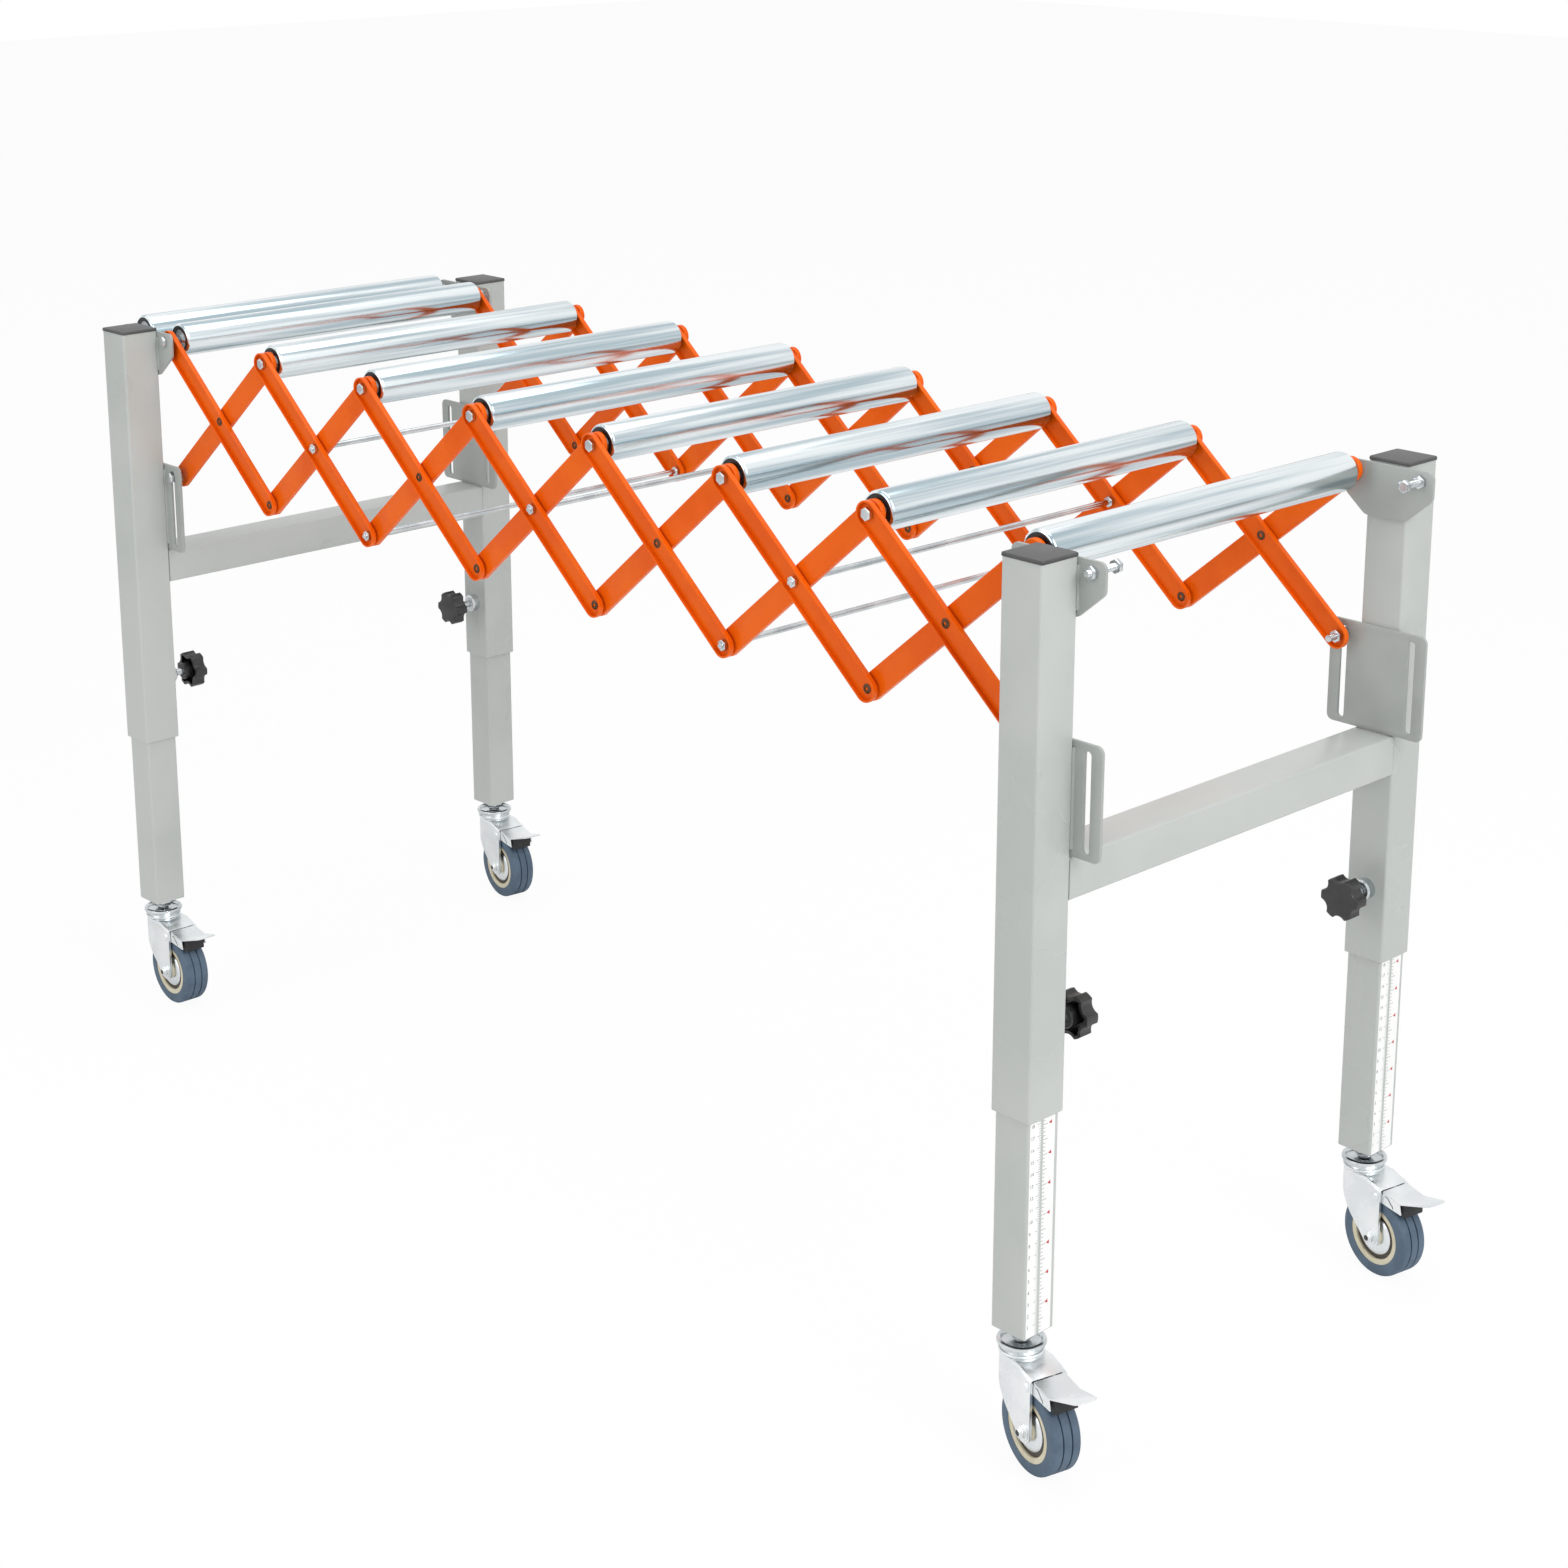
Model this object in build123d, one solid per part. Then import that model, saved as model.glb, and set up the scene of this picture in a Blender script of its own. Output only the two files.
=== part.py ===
from build123d import *
import math
import os

# An extendable roller conveyor: nine rollers on a folding scissor lattice between two
# end frames, each on two telescopic legs with braked swivel casters.
# Millimetres. X runs along the conveyor, Y along the rollers, Z up from the floor.

# Driving sizes
arm_length = 222.0
rest_pitch = 169.0
cell_count = 7
roller_length = 380.0
roller_diameter = 34.0
post_width = 40.0
post_wall = 2.0
post_length = 440.0
leg_width = 35.0
leg_wall = 1.5
leg_length = 420.0
leg_shown = 184.0
caster_height = 110.0
wheel_diameter = 75.0

# Clearances and overrun
overrun = 5.0
pin_clearance = 0.06
seat_clearance = 0.1
slide_clearance = 0.3

# Lattice arms, pressed channel with rounded ends
arm_width = 22.0
arm_depth = 5.5
arm_sheet = 1.6
arm_bend = 1.4
washer_gap = 1.5
rim_gap = 0.5
roller_gap = 1.5

# End frame plates
plate_thickness = 3.0
pivot_offset = 34.0
roller_drop = 10.0
bracket_half_width = 46.0
bracket_drop = 1.0
bracket_side = 24.0
bracket_height = 46.0
bracket_corner = 9.0
bracket_low_corner = 4.0
guide_half_width = 48.0
guide_top_drop = 141.0
guide_height = 92.0
guide_corner = 8.0
slot_width = 6.5
slot_top_drop = 147.0
slot_length = 81.0

# Cross tube and posts
post_corner = 2.5
beam_height = 35.0
beam_gap = 1.0
cap_overlap = 0.6
cap_height = 3.0
cap_chamfer = 1.4
cap_plug_depth = 14.0
cap_plug_fit = 0.2

# Fasteners
bolt_radius = 3.0
hex_flats = 10.0
hex_height = 4.0
axle_radius = 5.0
axle_bore_depth = 16.0
bolt_grip = 14.0
washer_radius = 6.5
rivet_head_radius = 4.6
rivet_head_height = 1.2
rivet_bore = 1.8
tie_rod_radius = 2.75
tie_nut_flats = 9.0
tie_nut_height = 3.5
tie_end = 2.5
slot_bolt_end = 14.0
coupling_stand = 25.0
coupling_end = 4.0

# Rollers
tube_wall = 1.5
rim_round = 2.6
lip_opening = 14.6
seat_depth = 10.0
seat_recess = 0.6
bearing_radius = 10.4
bearing_depth = 8.0
bearing_groove_outer = 9.3
bearing_groove_inner = 6.4
bearing_groove_depth = 1.0

# Clamp knobs
knob_height = 64.0
stud_radius = 4.0
boss_radius = 9.5
boss_length = 9.0
boss_chamfer = 1.5
knob_stand = 11.0
knob_collar_radius = 9.0
knob_collar_length = 6.0
knob_radius = 19.0
knob_thickness = 14.0
knob_lobes = 6
knob_scoop_radius = 7.5
knob_edge = 1.8
stud_sink = 8.0

# Casters, measured from the swivel axis (trail) and the floor (height)
trail = 29.0
stem_radius = 6.0
stem_length = 30.0
stem_nut_flats = 17.0
stem_nut_height = 8.6
plug_length = 28.0
plug_fit = 0.15
upper_race_radius = 20.0
upper_race_height = 7.0
upper_race_drop = 9.5
race_dish_radius = 16.5
race_dish_depth = 2.5
race_round = 1.8
race_gap = 0.4
lower_race_radius = 18.5
lower_race_height = 3.0
kingpin_radius = 5.0
kingpin_head_radius = 8.5
kingpin_head_height = 2.0
fork_sheet = 2.4
fork_half_width = 17.4
fork_rear = 38.0
fork_slope_start = 20.0
fork_slope_drop = 5.0
fork_boss_radius = 9.5
fork_waist_height = 53.0
fork_waist_trail = 1.0
fork_shoulder_height = 78.0
fork_arch_height = 67.0
tyre_width = 26.0
tyre_inner_radius = 24.0
tyre_round = 3.0
groove_width = 1.2
groove_depth = 1.6
groove_offset = 4.2
core_half_width = 12.6
core_pocket_radius = 21.0
core_pocket_depth = 2.2
hub_half_width = 14.5
hub_radius = 9.0
cover_radius = 17.0
cover_thickness = 2.0
wheel_axle_radius = 4.0
wheel_axle_end = 3.5

# Brake pedal
pedal_pivot_trail = 32.0
pedal_pivot_height = 77.5
pedal_pin_radius = 2.5
pedal_rivet_radius = 4.2
pedal_rivet_height = 1.2
pedal_sheet = 1.3
pedal_half_width = 14.7
pedal_start = 39.0
pedal_start_height = 84.6
pedal_bend = 59.0
pedal_bend_height = 81.0
pedal_tip = 90.0
pedal_tip_height = 90.5
pedal_tip_half_width = 10.0
pedal_tip_corner = 4.0
pedal_ear_radius = 4.2
pedal_gap = 0.6
pedal_side_end = 61.0
pedal_side_height = 70.5
shoe_half_width = 11.4
shoe_start = 46.0
shoe_start_height = 76.0
shoe_end = 62.5
shoe_end_height = 67.0

# How far each caster is turned in plan, in degrees
caster_turns = {"near_left": -1.0, "far_left": -7.0, "near_right": -14.0, "far_right": -10.0}

# Levels
wheel_radius = wheel_diameter / 2
leg_bottom = caster_height
post_bottom = leg_bottom + leg_shown
post_top = post_bottom + post_length
pivot_height = post_top - roller_drop
rest_drop = math.sqrt(arm_length**2 - rest_pitch**2)
rest_angle = math.degrees(math.asin(rest_drop / arm_length))
knob_level = post_bottom + knob_height
guide_bottom = post_top - guide_top_drop - guide_height
beam_top = guide_bottom - beam_gap

# Layers across the conveyor, from the middle outwards
roller_end = roller_length / 2
inner_rim = roller_end + roller_gap
inner_web = inner_rim + arm_depth
outer_web = inner_web + washer_gap
outer_rim = outer_web + arm_depth
plate_inner = outer_rim + rim_gap
plate_outer = plate_inner + plate_thickness
post_axis = plate_outer + post_width / 2

# Places along the conveyor, from the left posts
left_x = 0.0
right_x = left_x + 2 * pivot_offset + cell_count * rest_pitch
pivot_x = [left_x + pivot_offset + index * rest_pitch for index in range(cell_count + 1)]
upright = 90


def across(outline, y_from, y_to):
    """A flat outline drawn in X and Z, made solid from one Y to another."""
    return Pos(0, y_to, 0) * Rot(upright, 0, 0) * extrude(outline, y_to - y_from)


def bar(radius, y_from, y_to):
    """A round bar along Y."""
    return across(Circle(radius), y_from, y_to)


def ring(radius, bore, y_from, y_to):
    """A round ring along Y."""
    return across(Circle(radius) - Circle(bore), y_from, y_to)


def hexagon(flats, y_from, y_to):
    """A hexagon along Y, measured over its flats."""
    return across(RegularPolygon(flats / 2, 6, major_radius=False), y_from, y_to)


def disc(radius, z_from, z_to):
    """A round disc along Z."""
    return Pos(0, 0, z_from) * extrude(Circle(radius), z_to - z_from)


def square_tube(width, wall, corner, length):
    """A square tube that stands on the origin."""
    bore = width - 2 * wall
    outline = RectangleRounded(width, width, corner) - RectangleRounded(bore, bore, corner / 4)
    return extrude(outline, length)


def nut(flats, radius, y_from, y_to):
    """A hexagon nut on a round shank."""
    return hexagon(flats, y_from, y_to) - bar(radius + pin_clearance, y_from - overrun, y_to + overrun)


def outward_bolt(side, seat, tip):
    """A hexagon bolt whose head stands outside seat and whose shank runs in to tip."""
    head = hexagon(hex_flats, seat, seat + hex_height)
    shank = bar(bolt_radius, tip, seat + hex_height / 2)
    return turned(head + shank, side)


def turned(piece, side):
    """The piece as made for the far side (1), or turned half round for the near side (-1)."""
    return piece if side > 0 else Rot(0, 0, 180) * piece


# Lattice arms

def channel():
    """One arm along X from its first pivot, open towards -Y, its web ending at Y = 0."""
    outline = Pos(arm_length / 2, 0) * SlotCenterToCenter(arm_length, arm_width)
    pocket = Pos(arm_length / 2, 0) * SlotCenterToCenter(arm_length, arm_width - 2 * arm_sheet)
    body = across(outline, -arm_depth, 0)
    web_face = body.faces().sort_by(Axis.Y)[-1]
    body = fillet(web_face.edges(), arm_bend)
    body -= across(pocket, -arm_depth - overrun, -arm_sheet)
    for place in (0, arm_length / 2, arm_length):
        body -= Pos(place, 0, 0) * bar(bolt_radius + pin_clearance, -arm_depth, overrun)
    return body


arm = channel()
arm_back = Rot(180, 0, 0) * arm


def falling_pair(index):
    """The near and far arms that fall from top pivot index, open towards -Y."""
    placed = []
    for web in (-outer_web, inner_web):
        placed.append(Pos(pivot_x[index], web, pivot_height) * Rot(0, rest_angle, 0) * arm)
    return placed


def rising_pair(index):
    """The near and far arms that rise from bottom pivot index, open towards +Y."""
    placed = []
    for web in (-inner_web, outer_web):
        foot = Pos(pivot_x[index], web, pivot_height - rest_drop)
        placed.append(foot * Rot(0, -rest_angle, 0) * arm_back)
    return placed


# Pivot fasteners of the lattice, made at X = Z = 0

def arm_washer(side):
    """The washer between the two arms of one side."""
    low = inner_web + seat_clearance
    high = outer_web - seat_clearance
    return turned(ring(washer_radius, bolt_radius + pin_clearance, low, high), side)


def hollow_rivet(side):
    """A hollow rivet through both arms of one side."""
    low = inner_web - arm_sheet
    high = outer_web + arm_sheet
    if side > 0:
        high += seat_clearance
    else:
        low -= seat_clearance
    shank = bar(bolt_radius, low, high)
    heads = bar(rivet_head_radius, low - rivet_head_height, low)
    heads += bar(rivet_head_radius, high, high + rivet_head_height)
    rivet = shank + heads
    rivet -= bar(rivet_bore, low - overrun, high + overrun)
    return rivet if side > 0 else Rot(0, 0, 180) * rivet


def rivet_set():
    """Rivets and washers of a pivot whose arms aren't tied across."""
    return [hollow_rivet(1), hollow_rivet(-1), arm_washer(1), arm_washer(-1)]


def tie_rod_set():
    """A tie rod across both sides, with a nut outside and inside each pair of arms."""
    outer_seat = outer_web + arm_sheet + seat_clearance
    inner_seat = inner_web - arm_sheet - seat_clearance
    end = outer_seat + tie_nut_height + tie_end
    rod = bar(tie_rod_radius, -end, end)
    rod = fillet(rod.edges(), tie_rod_radius / 2)
    pieces = [rod]
    outer_nut = nut(tie_nut_flats, tie_rod_radius, outer_seat, outer_seat + tie_nut_height)
    inner_nut = nut(tie_nut_flats, tie_rod_radius, inner_seat - tie_nut_height, inner_seat)
    for side in (1, -1):
        pieces.append(turned(outer_nut, side))
        pieces.append(turned(inner_nut, side))
        pieces.append(arm_washer(side))
    return pieces


def slot_bolt(side, web_face):
    """A bolt from outside a guide slot, through a spacer and an arm, with its nut inboard."""
    head_seat = plate_outer + slide_clearance
    bolt = hexagon(hex_flats, head_seat, head_seat + hex_height)
    bolt += bar(bolt_radius, web_face - arm_sheet - slot_bolt_end, head_seat + hex_height / 2)
    spacer = ring(washer_radius, bolt_radius + pin_clearance, web_face + seat_clearance,
                  plate_inner - slide_clearance)
    nut_seat = web_face - arm_sheet - seat_clearance
    lock = nut(hex_flats, bolt_radius, nut_seat - hex_height, nut_seat)
    return [turned(piece, side) for piece in (bolt, spacer, lock)]


def moved(pieces, x, z):
    """Pieces made at X = Z = 0, put at a pivot."""
    return [Pos(x, 0, z) * piece for piece in pieces]


def falling_arms(index):
    """One falling pair with its middle and lower pivot fasteners."""
    middle = tie_rod_set() if index % 2 else rivet_set()
    pieces = falling_pair(index)
    pieces += moved(middle, pivot_x[index] + rest_pitch / 2, pivot_height - rest_drop / 2)
    foot_x = pivot_x[index] + rest_pitch
    foot_z = pivot_height - rest_drop
    if index == cell_count - 1:
        foot = slot_bolt(1, inner_web) + slot_bolt(-1, outer_web + arm_sheet)
    elif index in tied_feet:
        foot = tie_rod_set()
    else:
        foot = rivet_set()
    return pieces + moved(foot, foot_x, foot_z)


def rising_arms(index):
    """One rising pair; the first also holds the slot bolts of the left frame."""
    pieces = rising_pair(index)
    if index == 0:
        foot = slot_bolt(1, outer_web + arm_sheet) + slot_bolt(-1, inner_web)
        pieces += moved(foot, pivot_x[0], pivot_height - rest_drop)
    return pieces


tied_feet = (1, 4)


# Roller axles, made at X = Z = 0

def axle_bar(near_end, far_end):
    """A bored axle bar between two faces."""
    bore = bolt_radius + pin_clearance
    body = bar(axle_radius, near_end, far_end)
    body -= bar(bore, near_end - overrun, near_end + axle_bore_depth)
    body -= bar(bore, far_end - axle_bore_depth, far_end + overrun)
    return body


def lattice_axle():
    """An axle bolted through both arms of a free top pivot."""
    face = inner_web - arm_sheet - seat_clearance
    seat = outer_web + arm_sheet + seat_clearance
    pieces = [axle_bar(-face, face)]
    for side in (1, -1):
        pieces.append(outward_bolt(side, seat, face - bolt_grip))
        pieces.append(arm_washer(side))
    return pieces


def frame_axle(inner_side):
    """An axle bolted to both brackets of a frame, past the end of one arm on each side."""
    inner_face = inner_web - arm_sheet - seat_clearance
    outer_face = outer_web - seat_clearance
    near_face = outer_face if inner_side > 0 else inner_face
    far_face = inner_face if inner_side > 0 else outer_face
    pieces = [axle_bar(-near_face, far_face)]
    bore = bolt_radius + pin_clearance
    for side in (1, -1):
        face = far_face if side > 0 else near_face
        arm_end = inner_web if side == inner_side else outer_web + arm_sheet
        pieces.append(outward_bolt(side, plate_outer, face - bolt_grip))
        pieces.append(turned(ring(washer_radius, bore, arm_end + seat_clearance, plate_inner), side))
    return pieces


def plain_axle():
    """An axle bolted between the brackets with no arm beside it."""
    pieces = [axle_bar(-plate_inner, plate_inner)]
    for side in (1, -1):
        pieces.append(outward_bolt(side, plate_outer, plate_inner - bolt_grip))
    return pieces


def coupling_bolt(side):
    """A long bolt that stands inboard of a bracket, held by a nut on each face."""
    head_low = plate_inner - coupling_stand
    bolt = hexagon(hex_flats, head_low, head_low + hex_height)
    bolt += bar(bolt_radius, head_low + hex_height / 2, plate_outer + hex_height + coupling_end)
    inner_nut = nut(hex_flats, bolt_radius, plate_inner - hex_height, plate_inner)
    outer_nut = nut(hex_flats, bolt_radius, plate_outer, plate_outer + hex_height)
    return [turned(piece, side) for piece in (bolt, inner_nut, outer_nut)]


# Rollers, made at X = Z = 0

def roller():
    """A tube with turned-in rims, two bearing seats and two bearings."""
    radius = roller_diameter / 2
    body = bar(radius, -roller_end, roller_end)
    body = fillet(body.edges().filter_by(GeomType.CIRCLE), rim_round)
    body -= bar(radius - tube_wall, tube_wall - roller_end, roller_end - tube_wall)
    body -= bar(lip_opening, -roller_end - overrun, roller_end + overrun)
    pieces = [body]
    seat_face = roller_end - seat_recess
    bearing_face = seat_face - seat_recess
    for side in (1, -1):
        seat = bar(lip_opening - seat_clearance, roller_end - tube_wall - seat_depth, seat_face)
        seat += bar(radius - tube_wall - seat_clearance, roller_end - tube_wall - seat_depth,
                    roller_end - tube_wall)
        seat -= bar(bearing_radius, roller_end - tube_wall - seat_depth - overrun, seat_face + overrun)
        bearing = ring(bearing_radius, axle_radius + pin_clearance, bearing_face - bearing_depth,
                       bearing_face)
        bearing -= ring(bearing_groove_outer, bearing_groove_inner,
                        bearing_face - bearing_groove_depth, bearing_face + overrun)
        pieces += [turned(seat, side), turned(bearing, side)]
    return pieces


# End frames

def frame_tubes(frame_x):
    """Two outer posts with the cross tube welded between them."""
    pieces = []
    for side in (1, -1):
        post = Pos(0, post_axis, post_bottom) * square_tube(post_width, post_wall, post_corner, post_length)
        hole = bar(stud_radius + slide_clearance, plate_outer - overrun, plate_outer + overrun)
        post -= Pos(0, 0, knob_level) * hole
        pieces.append(turned(post, side))
    half = post_width / 2
    middle = beam_top - beam_height / 2
    outline = RectangleRounded(post_width, beam_height, post_corner)
    outline -= RectangleRounded(post_width - 2 * post_wall, beam_height - 2 * post_wall, post_corner / 4)
    beam = Pos(0, 0, middle) * across(outline, -plate_outer, plate_outer)
    pieces.append(beam)
    return [Pos(frame_x, 0, 0) * piece for piece in pieces]


def bracket_plate():
    """The plate that holds the roller axles and the coupling bolts, on the far side."""
    top = post_top - bracket_drop
    bottom = top - bracket_height
    half = post_width / 2
    corners = [
        (-bracket_half_width, top),
        (bracket_half_width, top),
        (bracket_half_width, top - bracket_side),
        (half, bottom),
        (-half, bottom),
        (-bracket_half_width, top - bracket_side),
    ]
    outline = make_face(Polyline(corners, close=True))
    upper = outline.vertices().sort_by(Axis.Y)[-2:]
    outline = fillet(upper, bracket_corner)
    middle_height = top - bracket_side
    lower = [v for v in outline.vertices() if v.Y < middle_height + bracket_low_corner]
    outline = fillet(lower, bracket_low_corner)
    for x in (-pivot_offset, pivot_offset):
        outline -= Pos(x, pivot_height) * Circle(bolt_radius + pin_clearance)
    return across(outline, plate_inner, plate_outer)


def guide_plate():
    """The plate with the two slots that the end pivots slide in, on the far side."""
    middle = guide_bottom + guide_height / 2
    outline = Pos(0, middle) * RectangleRounded(2 * guide_half_width, guide_height, guide_corner)
    slot_middle = post_top - slot_top_drop - slot_length / 2
    for x in (-pivot_offset, pivot_offset):
        outline -= Pos(x, slot_middle) * Rot(0, 0, upright) * SlotOverall(slot_length, slot_width)
    return across(outline, plate_inner, plate_outer)


def frame_plates(frame_x):
    """The four welded plates of one end frame."""
    pieces = []
    for side in (1, -1):
        pieces.append(turned(bracket_plate(), side))
        pieces.append(turned(guide_plate(), side))
    return [Pos(frame_x, 0, 0) * piece for piece in pieces]


def post_caps(frame_x):
    """The plastic caps pushed into the post tops."""
    width = post_width + 2 * cap_overlap
    plug = post_width - 2 * post_wall - 2 * cap_plug_fit
    cap = extrude(RectangleRounded(width, width, post_corner), cap_height)
    cap = chamfer(cap.faces().sort_by(Axis.Z)[-1].edges(), cap_chamfer)
    cap += Pos(0, 0, -cap_plug_depth) * extrude(Rectangle(plug, plug), cap_plug_depth)
    return [Pos(frame_x, side * post_axis, post_top) * cap for side in (1, -1)]


def knob_bosses(frame_x):
    """The threaded bosses welded where the clamp knobs enter the posts."""
    boss = bar(boss_radius, plate_outer - boss_length, plate_outer)
    boss = chamfer(boss.edges().sort_by(Axis.Y)[0], boss_chamfer)
    boss -= bar(stud_radius + pin_clearance, plate_outer - boss_length - overrun, plate_outer + overrun)
    return [Pos(frame_x, 0, knob_level) * turned(boss, side) for side in (1, -1)]


def clamp_knob(frame_x, side):
    """A lobed knob moulded on a stud that presses on the inner leg."""
    boss_face = plate_outer - boss_length
    collar_face = boss_face - knob_stand
    knob_face = collar_face - knob_collar_length
    tip = post_axis - leg_width / 2 - slide_clearance
    outline = Circle(knob_radius)
    for lobe in range(knob_lobes):
        angle = 2 * math.pi * (lobe + 1 / 2) / knob_lobes
        reach = knob_radius + knob_scoop_radius / 2
        outline -= Pos(reach * math.cos(angle), reach * math.sin(angle)) * Circle(knob_scoop_radius)
    head = across(outline, knob_face - knob_thickness, knob_face)
    head = fillet(head.faces().sort_by(Axis.Y)[0].edges(), knob_edge)
    head += bar(knob_collar_radius, knob_face, collar_face)
    head -= bar(stud_radius, collar_face - stud_sink, collar_face + overrun)
    stud = bar(stud_radius, collar_face - stud_sink, tip)
    return [Pos(frame_x, 0, knob_level) * turned(piece, side) for piece in (head, stud)]


# Legs and casters, made with the swivel axis at X = Y = 0

upper_race_top = leg_bottom - upper_race_drop
upper_race_bottom = upper_race_top - upper_race_height
lower_race_top = upper_race_bottom - race_gap
fork_top = lower_race_top - lower_race_height
cheek_inner = fork_half_width - fork_sheet
axle_place = Pos(trail, 0, wheel_radius)
pedal_place = Pos(pedal_pivot_trail, 0, pedal_pivot_height)


def leg():
    """The inner tube with its plug, stem, lock nut, upper race and kingpin."""
    tube = Pos(0, 0, leg_bottom) * square_tube(leg_width, leg_wall, post_corner, leg_length)
    side = leg_width - 2 * leg_wall - 2 * plug_fit
    plug = Pos(0, 0, leg_bottom) * extrude(Rectangle(side, side), plug_length)
    plug -= disc(stem_radius, leg_bottom - overrun, leg_bottom + plug_length + overrun)
    hexagon_face = RegularPolygon(stem_nut_flats / 2, 6, major_radius=False)
    lock = Pos(0, 0, leg_bottom - stem_nut_height) * extrude(hexagon_face, stem_nut_height)
    lock -= disc(stem_radius, leg_bottom - stem_nut_height - overrun, leg_bottom + overrun)
    stem = disc(stem_radius, upper_race_top, leg_bottom + stem_length)
    race = disc(upper_race_radius, upper_race_bottom, upper_race_top)
    race = fillet(race.edges().filter_by(GeomType.CIRCLE), race_round)
    dish = disc(race_dish_radius, upper_race_top - race_dish_depth, upper_race_top + overrun)
    race -= dish - disc(stem_radius, upper_race_top - race_dish_depth, upper_race_top)
    pin_low = fork_top - fork_sheet - race_gap
    race += disc(kingpin_radius, pin_low, upper_race_bottom)
    race += disc(kingpin_head_radius, pin_low - kingpin_head_height, pin_low)
    return [tube, plug, lock, stem, race]


def fork_cheek():
    """The side outline of the fork."""
    outline = make_face(Polyline([
        (-fork_half_width, fork_top),
        (fork_slope_start, fork_top),
        (fork_rear, fork_top - fork_slope_drop),
        (fork_rear, fork_arch_height),
        (trail + fork_boss_radius, wheel_radius),
        (trail - fork_boss_radius, wheel_radius),
        (fork_waist_trail, fork_waist_height),
        (-fork_half_width, fork_shoulder_height),
    ], close=True))
    return outline + Pos(trail, wheel_radius) * Circle(fork_boss_radius)


def fork_space():
    """The side outline of the space under the fork's roof."""
    roof = fork_top - fork_sheet
    slope = fork_slope_drop / (fork_rear - fork_slope_start)
    end = fork_rear + overrun
    return make_face(Polyline([
        (-fork_half_width - overrun, roof),
        (fork_slope_start, roof),
        (end, roof - slope * (end - fork_slope_start)),
        (end, -overrun),
        (-fork_half_width - overrun, -overrun),
    ], close=True))


def fork_plan(half_width):
    """The fork from above: round at the swivel and straight behind it."""
    return Circle(half_width) + Pos(fork_rear, 0) * Rectangle(2 * fork_rear, 2 * half_width)


def fork():
    """The pressed fork with its lower race, wheel axle bolt and pedal pin."""
    body = across(fork_cheek(), -fork_half_width, fork_half_width)
    body &= extrude(fork_plan(fork_half_width), fork_top)
    space = across(fork_space(), -cheek_inner, cheek_inner)
    space &= extrude(fork_plan(cheek_inner), fork_top)
    body -= space
    body -= disc(kingpin_radius + pin_clearance, 0, fork_top + overrun)
    body -= axle_place * bar(wheel_axle_radius, -post_width, post_width)
    body -= pedal_place * bar(pedal_pin_radius, -post_width, post_width)
    race = disc(lower_race_radius, fork_top, lower_race_top)
    race -= disc(kingpin_radius + pin_clearance, 0, caster_height)
    return [body, race, axle_bolt(), pedal_pin()]


def axle_bolt():
    """The wheel axle with a hexagon head and a nut outside the fork cheeks."""
    end = fork_half_width + wheel_axle_end
    bolt = hexagon(hex_flats, fork_half_width, end)
    bolt += hexagon(hex_flats, -end, -fork_half_width)
    bolt += bar(wheel_axle_radius, -end, end)
    return axle_place * bolt


def pedal_pin():
    """The riveted pin that the brake pedal tips on."""
    head = fork_half_width + pedal_rivet_height
    pin = bar(pedal_pin_radius, -head, head)
    pin += bar(pedal_rivet_radius, fork_half_width, head)
    pin += bar(pedal_rivet_radius, -head, -fork_half_width)
    return pedal_place * pin


def wheel():
    """Tyre, core with hub, and the two hub covers."""
    half = tyre_width / 2
    tyre = bar(wheel_radius, -half, half)
    tyre = fillet(tyre.edges().filter_by(GeomType.CIRCLE), tyre_round)
    tyre -= bar(tyre_inner_radius, -half - overrun, half + overrun)
    for place in (-groove_offset, groove_offset):
        tyre -= ring(wheel_radius + overrun, wheel_radius - groove_depth, place - groove_width / 2,
                     place + groove_width / 2)
    core = bar(tyre_inner_radius, -core_half_width, core_half_width)
    for side in (1, -1):
        pocket = ring(core_pocket_radius, hub_radius, core_half_width - core_pocket_depth,
                      core_half_width + overrun)
        core -= turned(pocket, side)
    core += bar(hub_radius, -hub_half_width, hub_half_width)
    core -= bar(wheel_axle_radius + pin_clearance, -hub_half_width - overrun, hub_half_width + overrun)
    pieces = [tyre, core]
    for side in (1, -1):
        floor = core_half_width - core_pocket_depth
        cover = ring(cover_radius, hub_radius, floor, floor + cover_thickness)
        pieces.append(turned(cover, side))
    return [axle_place * piece for piece in pieces]


def pedal_plate():
    """The tread of the pedal: a flat stretch and a narrowing tip that is bent up."""
    side = make_face(Polyline([
        (pedal_start, pedal_start_height),
        (pedal_bend, pedal_bend_height),
        (pedal_tip, pedal_tip_height),
        (pedal_tip, pedal_tip_height - pedal_sheet),
        (pedal_bend, pedal_bend_height - pedal_sheet),
        (pedal_start, pedal_start_height - pedal_sheet),
    ], close=True))
    plan = make_face(Polyline([
        (pedal_start, -pedal_half_width),
        (pedal_bend, -pedal_half_width),
        (pedal_tip, -pedal_tip_half_width),
        (pedal_tip, pedal_tip_half_width),
        (pedal_bend, pedal_half_width),
        (pedal_start, pedal_half_width),
    ], close=True))
    plan = fillet(plan.vertices().sort_by(Axis.X)[-2:], pedal_tip_corner)
    return across(side, -pedal_half_width, pedal_half_width) & extrude(plan, caster_height)


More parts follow.
